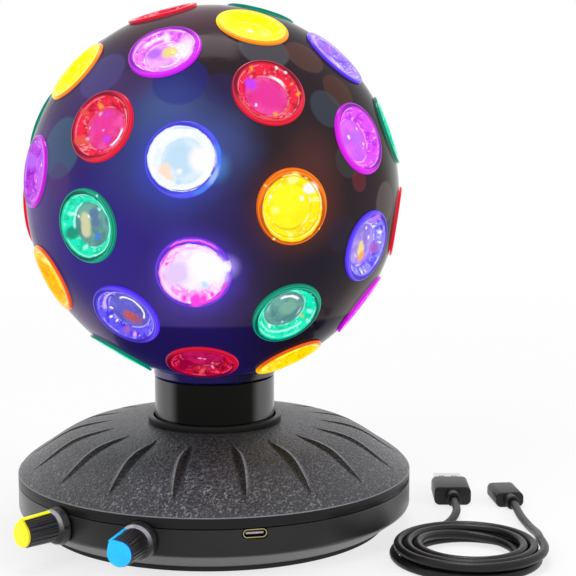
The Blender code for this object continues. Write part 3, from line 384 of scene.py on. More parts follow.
def platedFinish(name, colour, roughness):  # drawn metal, with fine lines along Y
    material, tree, shader = newFinish(name, {"Metallic": 1.0})
    place = addNode(tree, "TexCoord", {}, "Object")
    stretched = addNode(tree, "Mapping", {"Vector": place, "Scale": (1, 0.06, 1)})
    lines = grain(tree, stretched, 2400, 3)
    shade = ramp(tree, lines, [(0.3, dimmed(colour, 0.82)), (0.6, colour)])
    rough = ease(tree, lines, 0.2, 0.8, roughness * 0.8, roughness * 1.3)
    wire(tree, shader, {"Base Color": shade, "Roughness": rough})
    bump(tree, shader, lines, 0.000012)
    return material, tree, shader


jacket = mottled("cordJacket", [(0.3, tint(14, 14, 15)), (0.7, tint(24, 24, 25))], (60, 2),
                 (900, 3, 0.2, 0.8, 0.28, 0.4), (900, 3), 0.00004, {"Specular IOR Level": 0.3})[0]
moulding = mottled("plugMoulding", [(0.3, tint(18, 18, 19)), (0.7, tint(29, 29, 31))], (120, 2),
                   (2600, 2, 0.2, 0.8, 0.33, 0.46), (2600, 2), 0.00002, {"Specular IOR Level": 0.35})[0]
plugSteel = platedFinish("plugSteel", tint(226, 225, 230), 0.24)[0]


def makeGrip(name, end, node):
    bm = box(end["grip"], (0, 0, end["grip"][2] / 2))
    rounded(bm, upright(bm), plug["corner"], 8)
    rims = [edge for edge in bm.edges if abs((edge.verts[0].co - edge.verts[1].co).z) < 0.0001]
    rounded(bm, rims, plug["edge"], 3)
    reach, back, lip = end["collarRadius"], end["collarLength"], plug["lip"]
    hole = cable["radius"] + plug["hole"]
    outline = [(hole, -back), (reach, -back, lip), (reach, -lip), (reach, plug["overlap"]),
               (hole, plug["overlap"]), (hole, plug["mouth"] - back)]
    collar = spun(softened(outline), 40, True)
    grip = moved(joined([bm, collar]), plugFrame(end))
    return finishPiece(name, grip, moulding, "base", [node])


def makeShellA():
    height, length = plugA["shell"][1:]
    start = plugA["grip"][2] + cable["gap"]
    bm = box(plugA["shell"], (0, 0, start + length / 2))
    rounded(bm, upright(bm), plug["edge"], 4)
    hollowed(bm, plug["wall"], length - plug["back"])
    side, middle = plugA["window"], start + length / 2
    cutters = [box((side, height / 2, side), (spread / 2, height / 2, middle))
               for spread in (-plugA["windowSpread"], plugA["windowSpread"])]
    cutters.append(box(plugA["notch"], (0, height / 2, start + plugA["notchUp"])))
    bm = moved(carved(bm, joined(cutters)), plugFrame(plugA))
    return finishPiece("plugShellA", bm, plugSteel, "base", ["usb_a_shell"], 30)


def makeTongueA():
    thick, length = plugA["tongue"][1:]
    start = plugA["grip"][2] + 2 * cable["gap"] + plug["back"]
    low = plugA["tongueGap"] - plugA["shell"][1] / 2
    body = box(plugA["tongue"], (0, low + thick / 2, start + length / 2))
    rounded(body, list(body.edges), 0.00015, 2)
    plastic = mottled("tonguePlastic", [(0.35, tint(58, 57, 60)), (0.65, tint(92, 90, 92))], (500, 3),
                      None, (2500, 2), 0.00002, {"Roughness": 0.45})[0]
    spot = plugFrame(plugA)
    tongue = finishPiece("plugTongueA", moved(body, spot), plastic, "base", ["usb_a_tongue"])
    up = low + thick + plugA["contact"][1] / 2
    middle = start + plugA["contactMiddle"]
    strips = joined([box(plugA["contact"], (x, up, middle)) for x in plugA["contactsAt"]])
    gold = platedFinish("contactGold", tint(232, 196, 96), 0.2)[0]
    return [tongue, finishPiece("plugContactsA", moved(strips, spot), gold, "base")]


def makeShellC():
    width, height, length = plugC["shell"]
    start = plugC["grip"][2] + cable["gap"]
    blank = extruded(stadium(width, height), start, start + length)
    bm = hollowed(blank, plug["wall"], length - plug["back"])
    spot = plugFrame(plugC)
    return finishPiece("plugShellC", moved(bm, spot), plugSteel, "base", ["usb_c_shell"], 50)


def makeCable():
    coil = coilPoints()
    leadA = leadPoints(coil[0], coil[1], cable["routeA"], plugA)
    leadC = leadPoints(coil[-1], coil[-2], cable["routeC"], plugC)
    points = leadA[::-1] + coil + leadC
    curve = bpy.data.curves.new("usbCord", "CURVE")
    curve.dimensions = "3D"
    curve.bevel_depth = cable["radius"]
    curve.bevel_resolution = 5
    curve.use_fill_caps = True
    spline = curve.splines.new("POLY")
    spline.points.add(len(points) - 1)
    for target, point in zip(spline.points, points):
        target.co = (*point, 1)
    curve.materials.append(jacket)
    cord = bpy.data.objects.new("usbCord", curve)
    bpy.context.scene.collection.objects.link(cord)
    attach(cord, "base")
    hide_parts("cable_coil", "usb_a_lead", "usb_c_lead")
    grips = [makeGrip("plugGripA", plugA, "usb_a_grip"), makeGrip("plugGripC", plugC, "usb_c_grip")]
    plugs = grips + [makeShellA(), makeShellC()] + makeTongueA()


makeCable()


# Floor, backdrop and soft lamps
studio = {
    "ambient": 0.5, "floorLift": (0.74, 1.0), "liftReach": (0.16, 0.85), "floorHalf": 3, "aim": (0, 0, 0.1),
    "floor": {"Base Color": (0.9, 0.9, 0.9, 1), "Roughness": 0.7, "Specular IOR Level": 0.1},
    "lamps": (("keyLamp", (-0.9, -1.1, 1.15), 1.0, 9.0), ("rightLamp", (1.25, -0.55, 0.7), 0.8, 7.0),
              ("topLamp", (0.0, 0.25, 1.5), 0.5, 8.0)),
}


def seenRay(tree):  # camera rays, and what gloss and glass show
    path = tree.nodes.new("ShaderNodeLightPath")
    seen = calc(tree, "MAXIMUM", path.outputs["Is Camera Ray"], path.outputs["Is Glossy Ray"])
    return calc(tree, "MAXIMUM", seen, path.outputs["Is Transmission Ray"])


def makeStudio():
    world = bpy.data.worlds.new("paleRoom")
    world.use_nodes = True
    bpy.context.scene.world = world
    tree = world.node_tree
    strength = addNode(tree, "MapRange", {"Value": seenRay(tree), "To Min": studio["ambient"], "To Max": 1.0})
    wire(tree, tree.nodes["Background"], {"Color": (1, 1, 1, 1), "Strength": strength})
    bm = bmesh.new()
    bmesh.ops.create_grid(bm, x_segments=1, y_segments=1, size=studio["floorHalf"])
    mesh = bpy.data.meshes.new("paleFloor")
    bm.to_mesh(mesh)
    bm.free()
    floor = bpy.data.objects.new("paleFloor", mesh)
    bpy.context.scene.collection.objects.link(floor)
    material, tree, shader = newFinish("floorPaint", studio["floor"])
    glow = tree.nodes.new("ShaderNodeEmission")
    away = measure(tree, "LENGTH", objectPlace(tree))
    lift = ease(tree, away, *studio["liftReach"], *studio["floorLift"])
    surfaces = {0: times(tree, seenRay(tree), lift), 1: shader.outputs[0], 2: glow.outputs[0]}
    mixed = addNode(tree, "MixShader", surfaces)
    tree.links.new(mixed, tree.nodes["Material Output"].inputs["Surface"])
    mesh.materials.append(material)
    for name, spot, size, power in studio["lamps"]:
        lamp = bpy.data.objects.new(name, bpy.data.lights.new(name, "AREA"))
        lamp.data.size = size
        lamp.data.energy = power
        lamp.location = spot
        lamp.rotation_euler = (Vector(studio["aim"]) - Vector(spot)).to_track_quat("-Z", "Y").to_euler()
        lamp.visible_glossy = name == "topLamp"
        bpy.context.scene.collection.objects.link(lamp)


makeStudio()
print("studio made")

# Ball: two smoky half shells and forty-six lens cups in rings round a level pole
ball = {
    "radius": 0.075, "wall": 0.0022, "height": 0.13555, "poleAzimuth": 23.3, "seamGap": 0.0003,
    "innerRing": (33.4, -24.8, 6), "outerRing": (61.1, 252.2, 11), "seamPhase": 270,
    "innerColours": "blue magenta red ice pink green",
    "outerColours": "red yellow magenta red green blue yellow magenta red green blue",
    "seamColours": "blue magenta yellow blue green red yellow magenta orange green",
    "rearInner": "red green yellow blue magenta orange",
    "rearOuter": "blue red yellow magenta blue yellow orange blue green red magenta",
}
poleTurn = Matrix.Rotation(math.radians(ball["poleAzimuth"]), 4, "Z")
ballFrame = Matrix.Translation((0, 0, ball["height"])) @ poleTurn


def lensFrame(polar, phase):  # the pole is -Y
    polar, phase = math.radians(polar), math.radians(phase)
    sideways = math.sin(polar)
    out = Vector((sideways * math.cos(phase), -math.cos(polar), sideways * math.sin(phase)))
    tangent = Vector((-math.sin(phase), 0, math.cos(phase)))
    return Matrix((tangent, out.cross(tangent), out)).transposed()


def ringFrames(polar, first, count, total):
    return [lensFrame(polar, first + 360 * index / total) for index in range(count)]


def halfFrames(rear):
    frames = []
    for polar, first, count in ((0, ball["seamPhase"], 1), ball["innerRing"], ball["outerRing"]):
        frames += ringFrames(180 - polar if rear else polar, first, count, count)
    return frames


frontFrames = halfFrames(False)
rearFrames = halfFrames(True)
seamCount = ball["outerRing"][2]
seamFrames = ringFrames(90, ball["seamPhase"] + 360 / seamCount, seamCount - 1, seamCount)
hubFrame = lensFrame(90, ball["seamPhase"])

# Painted glow in the smoky plastic, standing in for the light of the lamp inside, by place on the ball:
# (right, away from the viewer, up) in radii, then how far it reaches, its colour and its strength. A ghost is
# a far lens's glow, painted where it would show faintly through the plastic.
shell = {
    "holeRadius": 0.01288, "hubHole": 0.02503, "holeReach": 0.004, "subdivisions": 6,
    # painted glow spread over the whole shell, under the glows
    "base": tint(46, 36, 40),
    "glows": (
        ((-0.5, -0.85, -0.2), 1.0, (52, 38, 134), 1.0), ((-0.9, -0.35, 0.1), 0.55, (96, 78, 140), 0.9),
        ((-0.6, -0.6, 0.55), 0.5, (78, 60, 118), 0.8), ((-0.1, -0.35, 0.95), 0.55, (92, 62, 72), 0.9),
        ((-0.22, -0.95, 0.28), 0.5, (60, 72, 138), 1.0), ((-0.2, -0.86, 0.48), 0.3, (74, 92, 146), 0.9),
        ((-0.1, -0.88, -0.5), 0.4, (70, 54, 134), 0.9), ((-0.07, -0.93, -0.33), 0.29, (92, 72, 214), 1.0),
        ((0.075, -0.953, -0.29), 0.085, (176, 152, 255), 1.0),
        ((0.5, -0.79, -0.33), 0.36, (28, 27, 40), 0.85), ((0.04, -0.949, 0.31), 0.3, (78, 96, 164), 0.6),
        ((-0.15, -0.98, 0.22), 0.29, (60, 74, 196), 1.0), ((0.02, -0.98, 0.2), 0.11, (80, 150, 226), 0.8),
        ((0.42, -0.9, 0.0), 0.32, (112, 54, 36), 1.0), ((0.5, -0.83, 0.22), 0.24, (84, 50, 46), 0.8),
        ((0.98, -0.2, 0.1), 0.36, (92, 96, 88), 0.9), ((0.8, -0.3, -0.55), 0.4, (96, 90, 86), 0.9),
        ((-0.7, -0.4, -0.62), 0.34, (100, 84, 116), 0.9),
    ),
    "ghosts": (
        ((-0.543, -0.554, 0.631), 0.15, (90, 84, 148), 0.45),
        ((-0.376, -0.723, 0.58), 0.12, (86, 64, 118), 0.35),
        ((-0.748, -0.605, 0.273), 0.17, (70, 104, 128), 0.6),
        ((0.267, -0.598, 0.756), 0.14, (86, 86, 92), 0.75),
        ((0.469, -0.51, 0.721), 0.12, (104, 70, 62), 0.55),
        ((0.639, -0.539, 0.548), 0.11, (96, 60, 48), 0.55),
        ((0.574, -0.674, 0.465), 0.11, (66, 76, 88), 0.6),
        ((0.675, -0.708, 0.207), 0.09, (66, 70, 66), 0.5),
        ((0.736, -0.668, 0.108), 0.06, (112, 44, 54), 0.6),
        ((-0.758, -0.643, 0.108), 0.1, (88, 50, 108), 0.4),
        ((-0.145, -0.784, 0.604), 0.15, (40, 40, 138), 0.5),
        ((0.06, -0.82, 0.56), 0.1, (52, 44, 118), 0.3),
        ((0.888, -0.459, -0.021), 0.12, (108, 98, 92), 0.5),
        ((0.644, -0.75, -0.149), 0.1, (50, 42, 64), 0.4),
    ),
    # a painted reflection: a level line across the shell, with darker colours beneath it
    "ghostEdge": 0.86, "reflectedHorizon": -0.605, "reflectedHorizonBlur": 0.012, "reflectedBelow": tint(22, 11, 80),
    "reflectedBelowRight": tint(13, 7, 22),
}


def makeShell(name, frames, side, material, node):
    reach, hairline = ball["radius"], 0.000001
    bm = bmesh.new()
    bmesh.ops.create_icosphere(bm, subdivisions=shell["subdivisions"], radius=reach)
    cut = Vector((0, side, 0))
    whole = list(bm.verts) + list(bm.edges) + list(bm.faces)
    seam = {"plane_co": cut * ball["seamGap"] / 2, "plane_no": cut, "clear_inner": True}
    bmesh.ops.bisect_plane(bm, geom=whole, dist=hairline, **seam)
    holes = [(place.col[2], shell["holeRadius"]) for place in frames + seamFrames]
    for direction, rim in holes + [(hubFrame.col[2], shell["hubHole"])]:
        height = math.sqrt(reach**2 - rim**2)
        near = [face for face in bm.faces
                if face.calc_center_median().dot(direction) > height - shell["holeReach"]]
        local = dict.fromkeys(item for face in near for item in (face, *face.verts, *face.edges))
        opening = {"plane_co": direction * height, "plane_no": direction, "clear_outer": True}
        bmesh.ops.bisect_plane(bm, geom=list(local), dist=hairline, **opening)
    bmesh.ops.remove_doubles(bm, verts=list(bm.verts), dist=0.000002)
    bmesh.ops.recalc_face_normals(bm, faces=list(bm.faces))
    bmesh.ops.solidify(bm, geom=list(bm.faces), thickness=ball["wall"])
    bmesh.ops.transform(bm, matrix=ballFrame, verts=list(bm.verts))
    piece = finishPiece(name, bm, material, "ball", [node], 30)
    # The outside takes a true ball's normals, so its gloss shows no facets
    centre = Vector((0, 0, ball["height"]))
    normals = []
    for face in piece.data.polygons:
        spokes = [piece.data.vertices[index].co - centre for index in face.vertices]
        outside = all(abs(spoke.length - reach) < 0.0001 for spoke in spokes)
        normals += [spoke.normalized() if outside else Vector((0, 0, 0)) for spoke in spokes]
    piece.data.normals_split_custom_set(normals)


def shellFinish():
    inputs = {"Base Color": tint(10, 8, 12), "Specular IOR Level": 0.03, "Emission Strength": 1.0}
    material, tree, shader = newFinish("smokyShell", inputs)
    place = objectPlace(tree, (0, 0, -ball["height"]))
    unit = combine(tree, "MULTIPLY", place, [1 / ball["radius"]] * 3)
    drift = grain(tree, unit, 2.5, 3)
    # The emission colour is painted light: the faint glow everywhere, then the glows and the ghosts
    colour = shell["base"]
    for where, reach, shade, strength in shell["glows"]:
        away = measure(tree, "DISTANCE", unit, where)
        loose = calc(tree, "MULTIPLY_ADD", drift, reach * 0.35, calc(tree, "SUBTRACT", away, reach * 0.17))
        colour = blend(tree, ease(tree, loose, 0.0, reach, strength, 0.0), colour, tint(*shade))
    for where, reach, shade, strength in shell["ghosts"]:
        away = measure(tree, "DISTANCE", unit, where)
        share = ease(tree, away, reach * shell["ghostEdge"], reach, strength, 0.0)
        colour = blend(tree, share, colour, tint(*shade))
    # A painted reflection: a level line across the shell, darker colour beneath it
    blur, right = shell["reflectedHorizonBlur"], along(tree, unit, "X")
    low = ease(tree, along(tree, unit, "Z"), shell["reflectedHorizon"] - blur, shell["reflectedHorizon"] + blur, 0.9, 0.0)
    reflectedBelow = blend(tree, ease(tree, right, 0.0, 0.45), shell["reflectedBelow"], shell["reflectedBelowRight"])
    clear = ease(tree, right, -0.62, -0.4)  # the painted reflection stays off the bottom left
    colour = blend(tree, times(tree, low, clear), colour, reflectedBelow)
    rough = ease(tree, grain(tree, unit, 14, 4), 0.3, 0.7, 0.09, 0.17)
    wire(tree, shader, {"Emission Color": colour, "Roughness": rough})
    return material


smoky = shellFinish()
makeShell("frontShell", frontFrames, -1, smoky, "ball_front_shell")
makeShell("rearShell", rearFrames, 1, smoky, "ball_rear_shell")
print("shells made")

# Lens cups: flange, sloping wall and floor
lens = {
    "flange": 0.01405, "barrel": 0.0122, "opening": 0.0117, "floor": 0.0085, "top": 0.07507, "recess": 0.0032,
    "bottom": 0.07027, "gap": 0.0003, "crown": ((0, 0.0006), (0.5, 0.00048), (0.85, 0.00015)),
    "steps": 56, "rim": 0.86, "thinRim": 0.915,
}
# Cup colours all go to the emission: painted light standing in for the lamps inside the ball. The parts of a
# look are rim, line (a painted highlight line on the flange), edge (the rim's far side, without the near
# side's painted light), wall, dim (painted shade in the cup's corners and wall streaks), floor, cloud and
# glint (painted glints).
lookParts = "rim line edge wall dim floor cloud glint".split()
lensLooks = {
    "yellow": ((226, 100, 0), (255, 150, 20), (186, 72, 0), (255, 244, 0), (255, 222, 0), (255, 242, 0),
        (255, 255, 30), (255, 255, 190)),
    "orange": ((232, 70, 0), (255, 150, 10), (255, 176, 0), (255, 186, 0), (255, 158, 0), (255, 168, 0),
        (255, 208, 0), (255, 222, 60)),
    "sun": ((240, 120, 0), (255, 176, 10), (255, 236, 0), (255, 248, 0), (255, 238, 0), (255, 246, 0),
        (255, 255, 40), (255, 255, 120)),
    "amber": ((222, 70, 0), (240, 110, 0), (255, 206, 0), (255, 222, 0), (250, 186, 0), (255, 214, 0),
        (255, 234, 10), (255, 246, 90)),
    "lavender": ((84, 40, 240), (150, 120, 255), (120, 84, 240), (168, 130, 255), (132, 96, 246),
        (150, 116, 250), (186, 150, 255), (232, 220, 255)),
    "red": ((224, 0, 36), (232, 60, 90), (112, 8, 40), (246, 32, 70), (196, 8, 46), (226, 46, 132),
        (248, 82, 170), (255, 140, 160)),
    "ruby": ((206, 0, 50), (190, 24, 60), (96, 0, 34), (200, 8, 54), (136, 0, 40), (150, 8, 62),
        (192, 20, 92), (240, 80, 130)),
    "magenta": ((218, 0, 232), (228, 50, 236), (112, 10, 150), (232, 84, 252), (196, 40, 240),
        (204, 90, 250), (232, 104, 255), (255, 170, 255)),
    "mallow": ((214, 0, 244), (226, 60, 240), (126, 20, 170), (246, 128, 255), (214, 76, 250),
        (232, 140, 250), (252, 184, 255), (255, 236, 255)),
    "plum": ((196, 0, 214), (210, 60, 226), (112, 10, 150), (190, 66, 228), (152, 36, 206), (172, 76, 224),
        (204, 88, 236), (240, 150, 255)),
    "frost": ((80, 44, 246), (120, 96, 246), (56, 24, 170), (150, 138, 255), (96, 76, 244),
        (136, 112, 218), (184, 152, 238), (236, 232, 255)),
    "blue": ((76, 34, 240), (112, 92, 236), (50, 22, 160), (104, 88, 246), (72, 48, 226), (86, 84, 188),
        (112, 104, 214), (196, 188, 255)),
    "green": ((0, 124, 98), (24, 188, 152), (4, 78, 72), (14, 240, 192), (0, 204, 158), (84, 134, 138),
        (110, 172, 160), (160, 255, 236)),
    "ice": ((76, 74, 232), (92, 104, 240), (62, 56, 200), (250, 254, 255), (236, 246, 255),
        (200, 228, 242), (226, 242, 250), (255, 255, 255)),
    "pink": ((104, 50, 222), (150, 66, 232), (84, 44, 200), (255, 214, 250), (250, 150, 240),
        (244, 226, 250), (255, 246, 255), (255, 255, 255)),
}
tones = {
    "white": (255, 252, 255), "blush": (255, 170, 225), "gold": (255, 168, 36), "lilac": (188, 108, 246),
    "violet": (206, 60, 250), "rose": (236, 50, 156), "coral": (232, 84, 72), "clay": (150, 90, 130),
    "mauve": (168, 98, 190), "lemon": (255, 255, 140), "sky": (196, 226, 242), "orchid": (232, 204, 244),
    "hot": (255, 66, 222), "wine": (150, 0, 56), "sage": (122, 178, 156), "foam": (170, 255, 236),
    "olive": (200, 206, 80), "slate": (92, 122, 160), "cream": (208, 210, 166), "azure": (70, 128, 232),
    "pine": (24, 150, 122), "amber": (236, 196, 0), "straw": (240, 222, 118), "milk": (255, 236, 244),
    "apricot": (255, 226, 196), "rust": (186, 84, 76), "petal": (255, 104, 236), "mist": (214, 190, 240),
}
# Lines of light: distance out, middle angle and half width in degrees, thickness, tone. Lengths here and in
# the next table are in hundredths of the flange's radius.
lensArcs = {
    "lensOuter11": ((45, 105, 72, 4, "white"), (70, 200, 46, 5, "mist")),
    "lensInner03": ((62, 222, 24, 4.5, "white"), (66, 100, 50, 4, "coral"), (86, 60, 60, 3, "coral")),
    "lensOuter09": ((54, 75, 32, 4.5, "white"), (78, 128, 14, 4, "white"), (60, 250, 50, 3, "coral")),
    "lensInner06": ((45, 76, 40, 6, "white"), (50, -20, 14, 4.5, "white"), (50, 166, 14, 4.5, "foam"),
        (72, 260, 60, 3, "foam")),
    "lensOuter08": ((42, 80, 50, 4, "milk"), (72, 262, 30, 6, "milk"), (62, 20, 20, 3, "blush")),
    "lensOuter06": ((30, 212, 48, 7, "white"),),
    "lensInner01": ((36, 165, 16, 4, "white"), (74, -43, 10, 4, "white"), (60, 250, 40, 3.5, "lilac")),
    "lensInner02": ((58, 250, 40, 3, "blush"), (62, 150, 24, 3.5, "blush")),
    "lensCentre01": ((60, 266, 42, 3, "amber"), (79, 180, 180, 2, "amber")),
    "lensInner04": ((80, 30, 30, 2.5, "slate"), (82, 200, 24, 3, "sky"), (94, 88, 50, 7, "azure"),
        (92, 84, 16, 9, "sky")),
    "lensInner05": ((88, 8, 40, 5, "hot"), (84, 200, 30, 4, "hot"), (94, 146, 42, 4, "petal")),
    "lensOuter10": ((80, 60, 60, 3, "foam"), (62, 240, 40, 3, "foam")),
    "lensOuter01": ((55, 80, 40, 3, "blush"),),
    "lensSeam10": ((40, 90, 40, 5, "foam"),),
    "lensSeam08": ((82, 84, 60, 3, "blush"),),
}
# Painted highlights and reflections in each cup: across, towards the front, size, tone
lensSpots = {
    "lensOuter08": ((-42, 12, 42, "milk"), (-15, -5, 27, "straw"), (15, -36, 25, "lilac"),
        (-42, -55, 14, "milk"), (-34, -31, 10, "milk")),
    "lensInner03": ((-3, 2, 52, "rose"), (31, -40, 20, "violet"), (23, -77, 8, "gold"),
        (-81, 14, 7, "gold"), (-8, 56, 9, "gold"), (-74, -19, 5, "gold"), (-45, -70, 6, "white"),
        (-66, -53, 6, "white"), (38, 24, 5, "white")),
    "lensOuter09": ((-11, -18, 46, "rose"), (51, -51, 20, "coral"), (-21, -78, 13, "coral"),
        (-51, -43, 9, "gold"), (-33, -39, 8, "blush"), (-36, -15, 8, "violet"), (25, 19, 14, "violet"),
        (12, -54, 5, "blush"), (6, -4, 5, "blush"), (41, -44, 7, "blush")),
    "lensSeam08": ((-28, -69, 25, "lilac"), (-19, 1, 6, "white"), (-30, 50, 6, "blush"),
        (28, -40, 8, "blush")),
    "lensInner02": ((1, -13, 20, "lilac"), (19, 16, 8, "white"), (12, -40, 5, "white"),
        (-31, -28, 6, "white"), (-38, -18, 5, "blush"), (-24, -76, 5, "blush"), (-40, -66, 5, "blush"),
        (41, -46, 7, "blush")),
    "lensOuter06": ((50, -40, 14, "blush"), (10, -70, 14, "lilac")),
    "lensCentre01": ((55, 46, 18, "white"), (36, 19, 9, "white"), (70, 16, 10, "lemon"),
        (-40, -10, 12, "lemon"), (8, 73, 18, "lemon"), (-2, -76, 10, "lemon"), (-54, 25, 7, "white"),
        (-76, 56, 5, "lemon"), (79, -61, 5, "lemon"), (-52, -80, 5, "lemon")),
    "lensInner01": ((-16, -4, 20, "straw"), (-29, -20, 17, "gold"), (-1, 8, 14, "straw"),
        (27, -18, 7, "white"), (45, 10, 6, "white"), (59, -23, 6, "white"), (54, -50, 6, "white"),
        (30, -68, 5, "white"), (-67, -33, 7, "white"), (9, -62, 16, "mauve"), (77, 10, 20, "lilac")),
    "lensInner05": ((-15, -44, 40, "orchid"), (16, 34, 58, "white"), (-12, 25, 30, "white"),
        (71, -39, 20, "hot"), (77, -18, 15, "hot"), (49, -62, 12, "hot"), (64, -56, 5, "white"),
        (78, 7, 9, "hot"), (-54, -49, 8, "hot"), (50, 0, 14, "sky"), (27, 84, 17, "white"),
        (24, 96, 10, "orchid")),
    "lensOuter11": ((30, 0, 26, "clay"), (15, -11, 23, "rust"), (48, -50, 12, "mauve"),
        (-24, -51, 6, "white"), (-2, -68, 5, "white"), (15, -64, 5, "white"), (68, -32, 7, "blush")),
    "lensOuter01": ((-20, -62, 22, "wine"), (-3, -8, 7, "blush"), (9, -5, 6, "blush"),
        (42, -23, 5, "blush"), (52, -40, 5, "blush"), (55, -22, 7, "coral"), (33, -66, 8, "coral")),
    "lensInner06": ((10, 5, 30, "sage"), (72, -13, 8, "foam"), (70, -40, 7, "foam"), (57, -32, 6, "olive"),
        (-35, -52, 7, "white"), (1, -47, 5, "foam")),
    "lensOuter07": ((2, -5, 10, "white"), (-35, 10, 12, "lemon")),
    "lensSeam07": ((-28, -25, 10, "lemon"), (-8, -40, 8, "lemon")),
    "lensInner04": ((-5, -17, 42, "sky"), (18, 8, 22, "sky"), (-21, 44, 42, "white"),
        (40, -38, 20, "apricot"), (53, -20, 14, "apricot"), (58, 8, 10, "sky"), (30, 0, 10, "white")),
    "lensOuter10": ((-29, 14, 18, "slate"), (-7, 18, 17, "slate"), (-16, -20, 21, "cream"),
        (3, -19, 22, "cream"), (19, -23, 19, "cream"), (31, 17, 13, "azure"), (20, -66, 20, "pine"),
        (-31, -63, 8, "foam"), (-29, -55, 6, "white"), (-22, -43, 5, "white"), (-22, -5, 5, "white"),
        (-41, 33, 6, "foam"), (-80, 50, 5, "foam"), (59, -28, 9, "foam")),
    "lensSeam09": ((-36, -40, 20, "lemon"),),
    "lensOuter02": ((21, -50, 10, "gold"), (-21, -50, 10, "gold")),
    "lensSeam10": ((-10, 20, 12, "foam"), (-40, 10, 10, "foam"), (15, 30, 8, "foam")),
    "lensOuter05": ((50, 30, 8, "foam"), (-10, 40, 8, "foam")),
}
# Cups that look unlike the others of their colour; those at the ball's edge also show a thinner rim
thinRims = {"lensOuter07": "sun", "lensSeam07": "sun", "lensSeam09": "orange", "lensOuter02": "amber",
            "lensOuter06": "lavender"}
ownLooks = {"lensOuter01": "ruby", "lensOuter08": "mallow", "lensSeam08": "plum", "lensInner01": "frost"}


def lensFinish(name, look, rim, spots=(), arcs=()):
    shades = {part: tint(*shade) for part, shade in zip(lookParts, lensLooks[look])}
    inputs = {"Base Color": dimmed(shades["edge"], 0.12), "Roughness": 0.08, "Specular IOR Level": 0.16}
    material, tree, shader = newFinish(name, inputs | {"Emission Strength": 1.0})
    cup = combine(tree, "SUBTRACT", addNode(tree, "TexCoord", {}, "UV"), (0.5, 0.5, 0))
    cup = combine(tree, "MULTIPLY", cup, (2, 2, 2))
    radial = measure(tree, "LENGTH", cup)
    place = objectPlace(tree)
    wobble = grain(tree, place, 300, 3)
    # Painted light: the rim's near side shows wider and brighter than its far side
    near = along(tree, cup, "Y")
    lean = times(tree, near, ease(tree, radial, 0.7, 0.84, 0.0, 0.07))
    shaky = calc(tree, "MULTIPLY_ADD", wobble, 0.06, calc(tree, "SUBTRACT", radial, 0.03))
    loose = calc(tree, "ADD", lean, shaky)
    # the dim stops are painted shade where the floor and the rim meet the wall
    zones = ((0.0, "floor"), (0.56, "floor"), (0.61, "dim"), (0.66, "wall"), (rim - 0.07, "wall"),
             (rim - 0.03, "dim"), (rim, "edge"), (1.0, "edge"))
    rings = ((rim, "rim"), (rim + 0.03, "rim"), (0.955, "line"), (0.975, "rim"), (1.0, "rim"))
    colour, lit = [ramp(tree, loose, [(out, shades[part]) for out, part in rows]) for rows in (zones, rings)]
    nearSideLight = times(tree, ease(tree, near, -0.45, 0.5), ease(tree, loose, rim + 0.005, rim + 0.035))
    colour = blend(tree, nearSideLight, colour, lit)
    # a thin painted highlight line on the flange
    thin = times(tree, band(tree, radial, 0.94, 0.96, 0.97, 0.985), 0.6)
    colour = blend(tree, thin, colour, shades["line"])
    # A cloudy floor, painted highlights round the floor's edge and the rim, and a wall of painted shade and
    # glint streaks
    inFloor = ease(tree, radial, 0.53, 0.6, 1.0, 0.0)
    mist = times(tree, ease(tree, grain(tree, place, 130, 5, 0.65), 0.4, 0.62), inFloor)
    colour = blend(tree, mist, colour, shades["cloud"])
    broken = ease(tree, grain(tree, place, 210, 3), 0.44, 0.56)
    lipHighlights = [band(tree, radial, out, out + start, out + start + 0.01, out + end)
            for out, start, end in ((0.57, 0.03, 0.07), (0.8, 0.02, 0.05))]
    lip = times(tree, calc(tree, "MAXIMUM", *lipHighlights), times(tree, broken, 0.75))
    colour = blend(tree, lip, colour, shades["glint"])
    onWall = band(tree, radial, 0.58, 0.64, 0.79, 0.83)
    shadeStreak = times(tree, ease(tree, grain(tree, place, 300, 3, 0.6), 0.48, 0.62), onWall)
    colour = blend(tree, shadeStreak, colour, shades["dim"])
    glintStreak = times(tree, ease(tree, grain(tree, place, 520, 3, 0.6), 0.58, 0.66), times(tree, onWall, 0.8))
    colour = blend(tree, glintStreak, colour, shades["glint"])
    ragged = shaken(tree, 0.1, cup, grain(tree, place, 380, 3, 0.6))
    for across, up, size, tone in spots:
        reach = size / 100
        away = measure(tree, "DISTANCE", ragged, (across / 100 + 0.05, up / 100 + 0.05, 0.05))
        soft = ease(tree, away, reach * (0.5 if reach > 0.15 else 0.2), reach * 1.15, 1.0, 0.0)
        colour = blend(tree, soft, colour, tint(*tones[tone]))
    ray = combine(tree, "NORMALIZE", cup)
    rough = calc(tree, "MULTIPLY_ADD", wobble, 0.08, calc(tree, "SUBTRACT", radial, 0.04))
    for out, middle, spread, thick, tone in arcs:
        side = (math.cos(math.radians(middle)), math.sin(math.radians(middle)), 0)
        limit = math.cos(math.radians(spread))
        window = ease(tree, measure(tree, "DOT_PRODUCT", ray, side), limit - 0.04, limit + 0.1)
        off = calc(tree, "ABSOLUTE", calc(tree, "SUBTRACT", rough, out / 100))
        line = times(tree, ease(tree, off, thick / 400, thick / 100, 1.0, 0.0), window)
        colour = blend(tree, line, colour, tint(*tones[tone]))
    # the cup's colour goes out as emission: painted light
    wire(tree, shader, {"Emission Color": colour})
    facets = addNode(tree, "TexVoronoi", {"Vector": place, "Scale": 620})
    bump(tree, shader, times(tree, facets, ease(tree, radial, 0.85, 0.8)), 0.0002, 0.8)
    return material


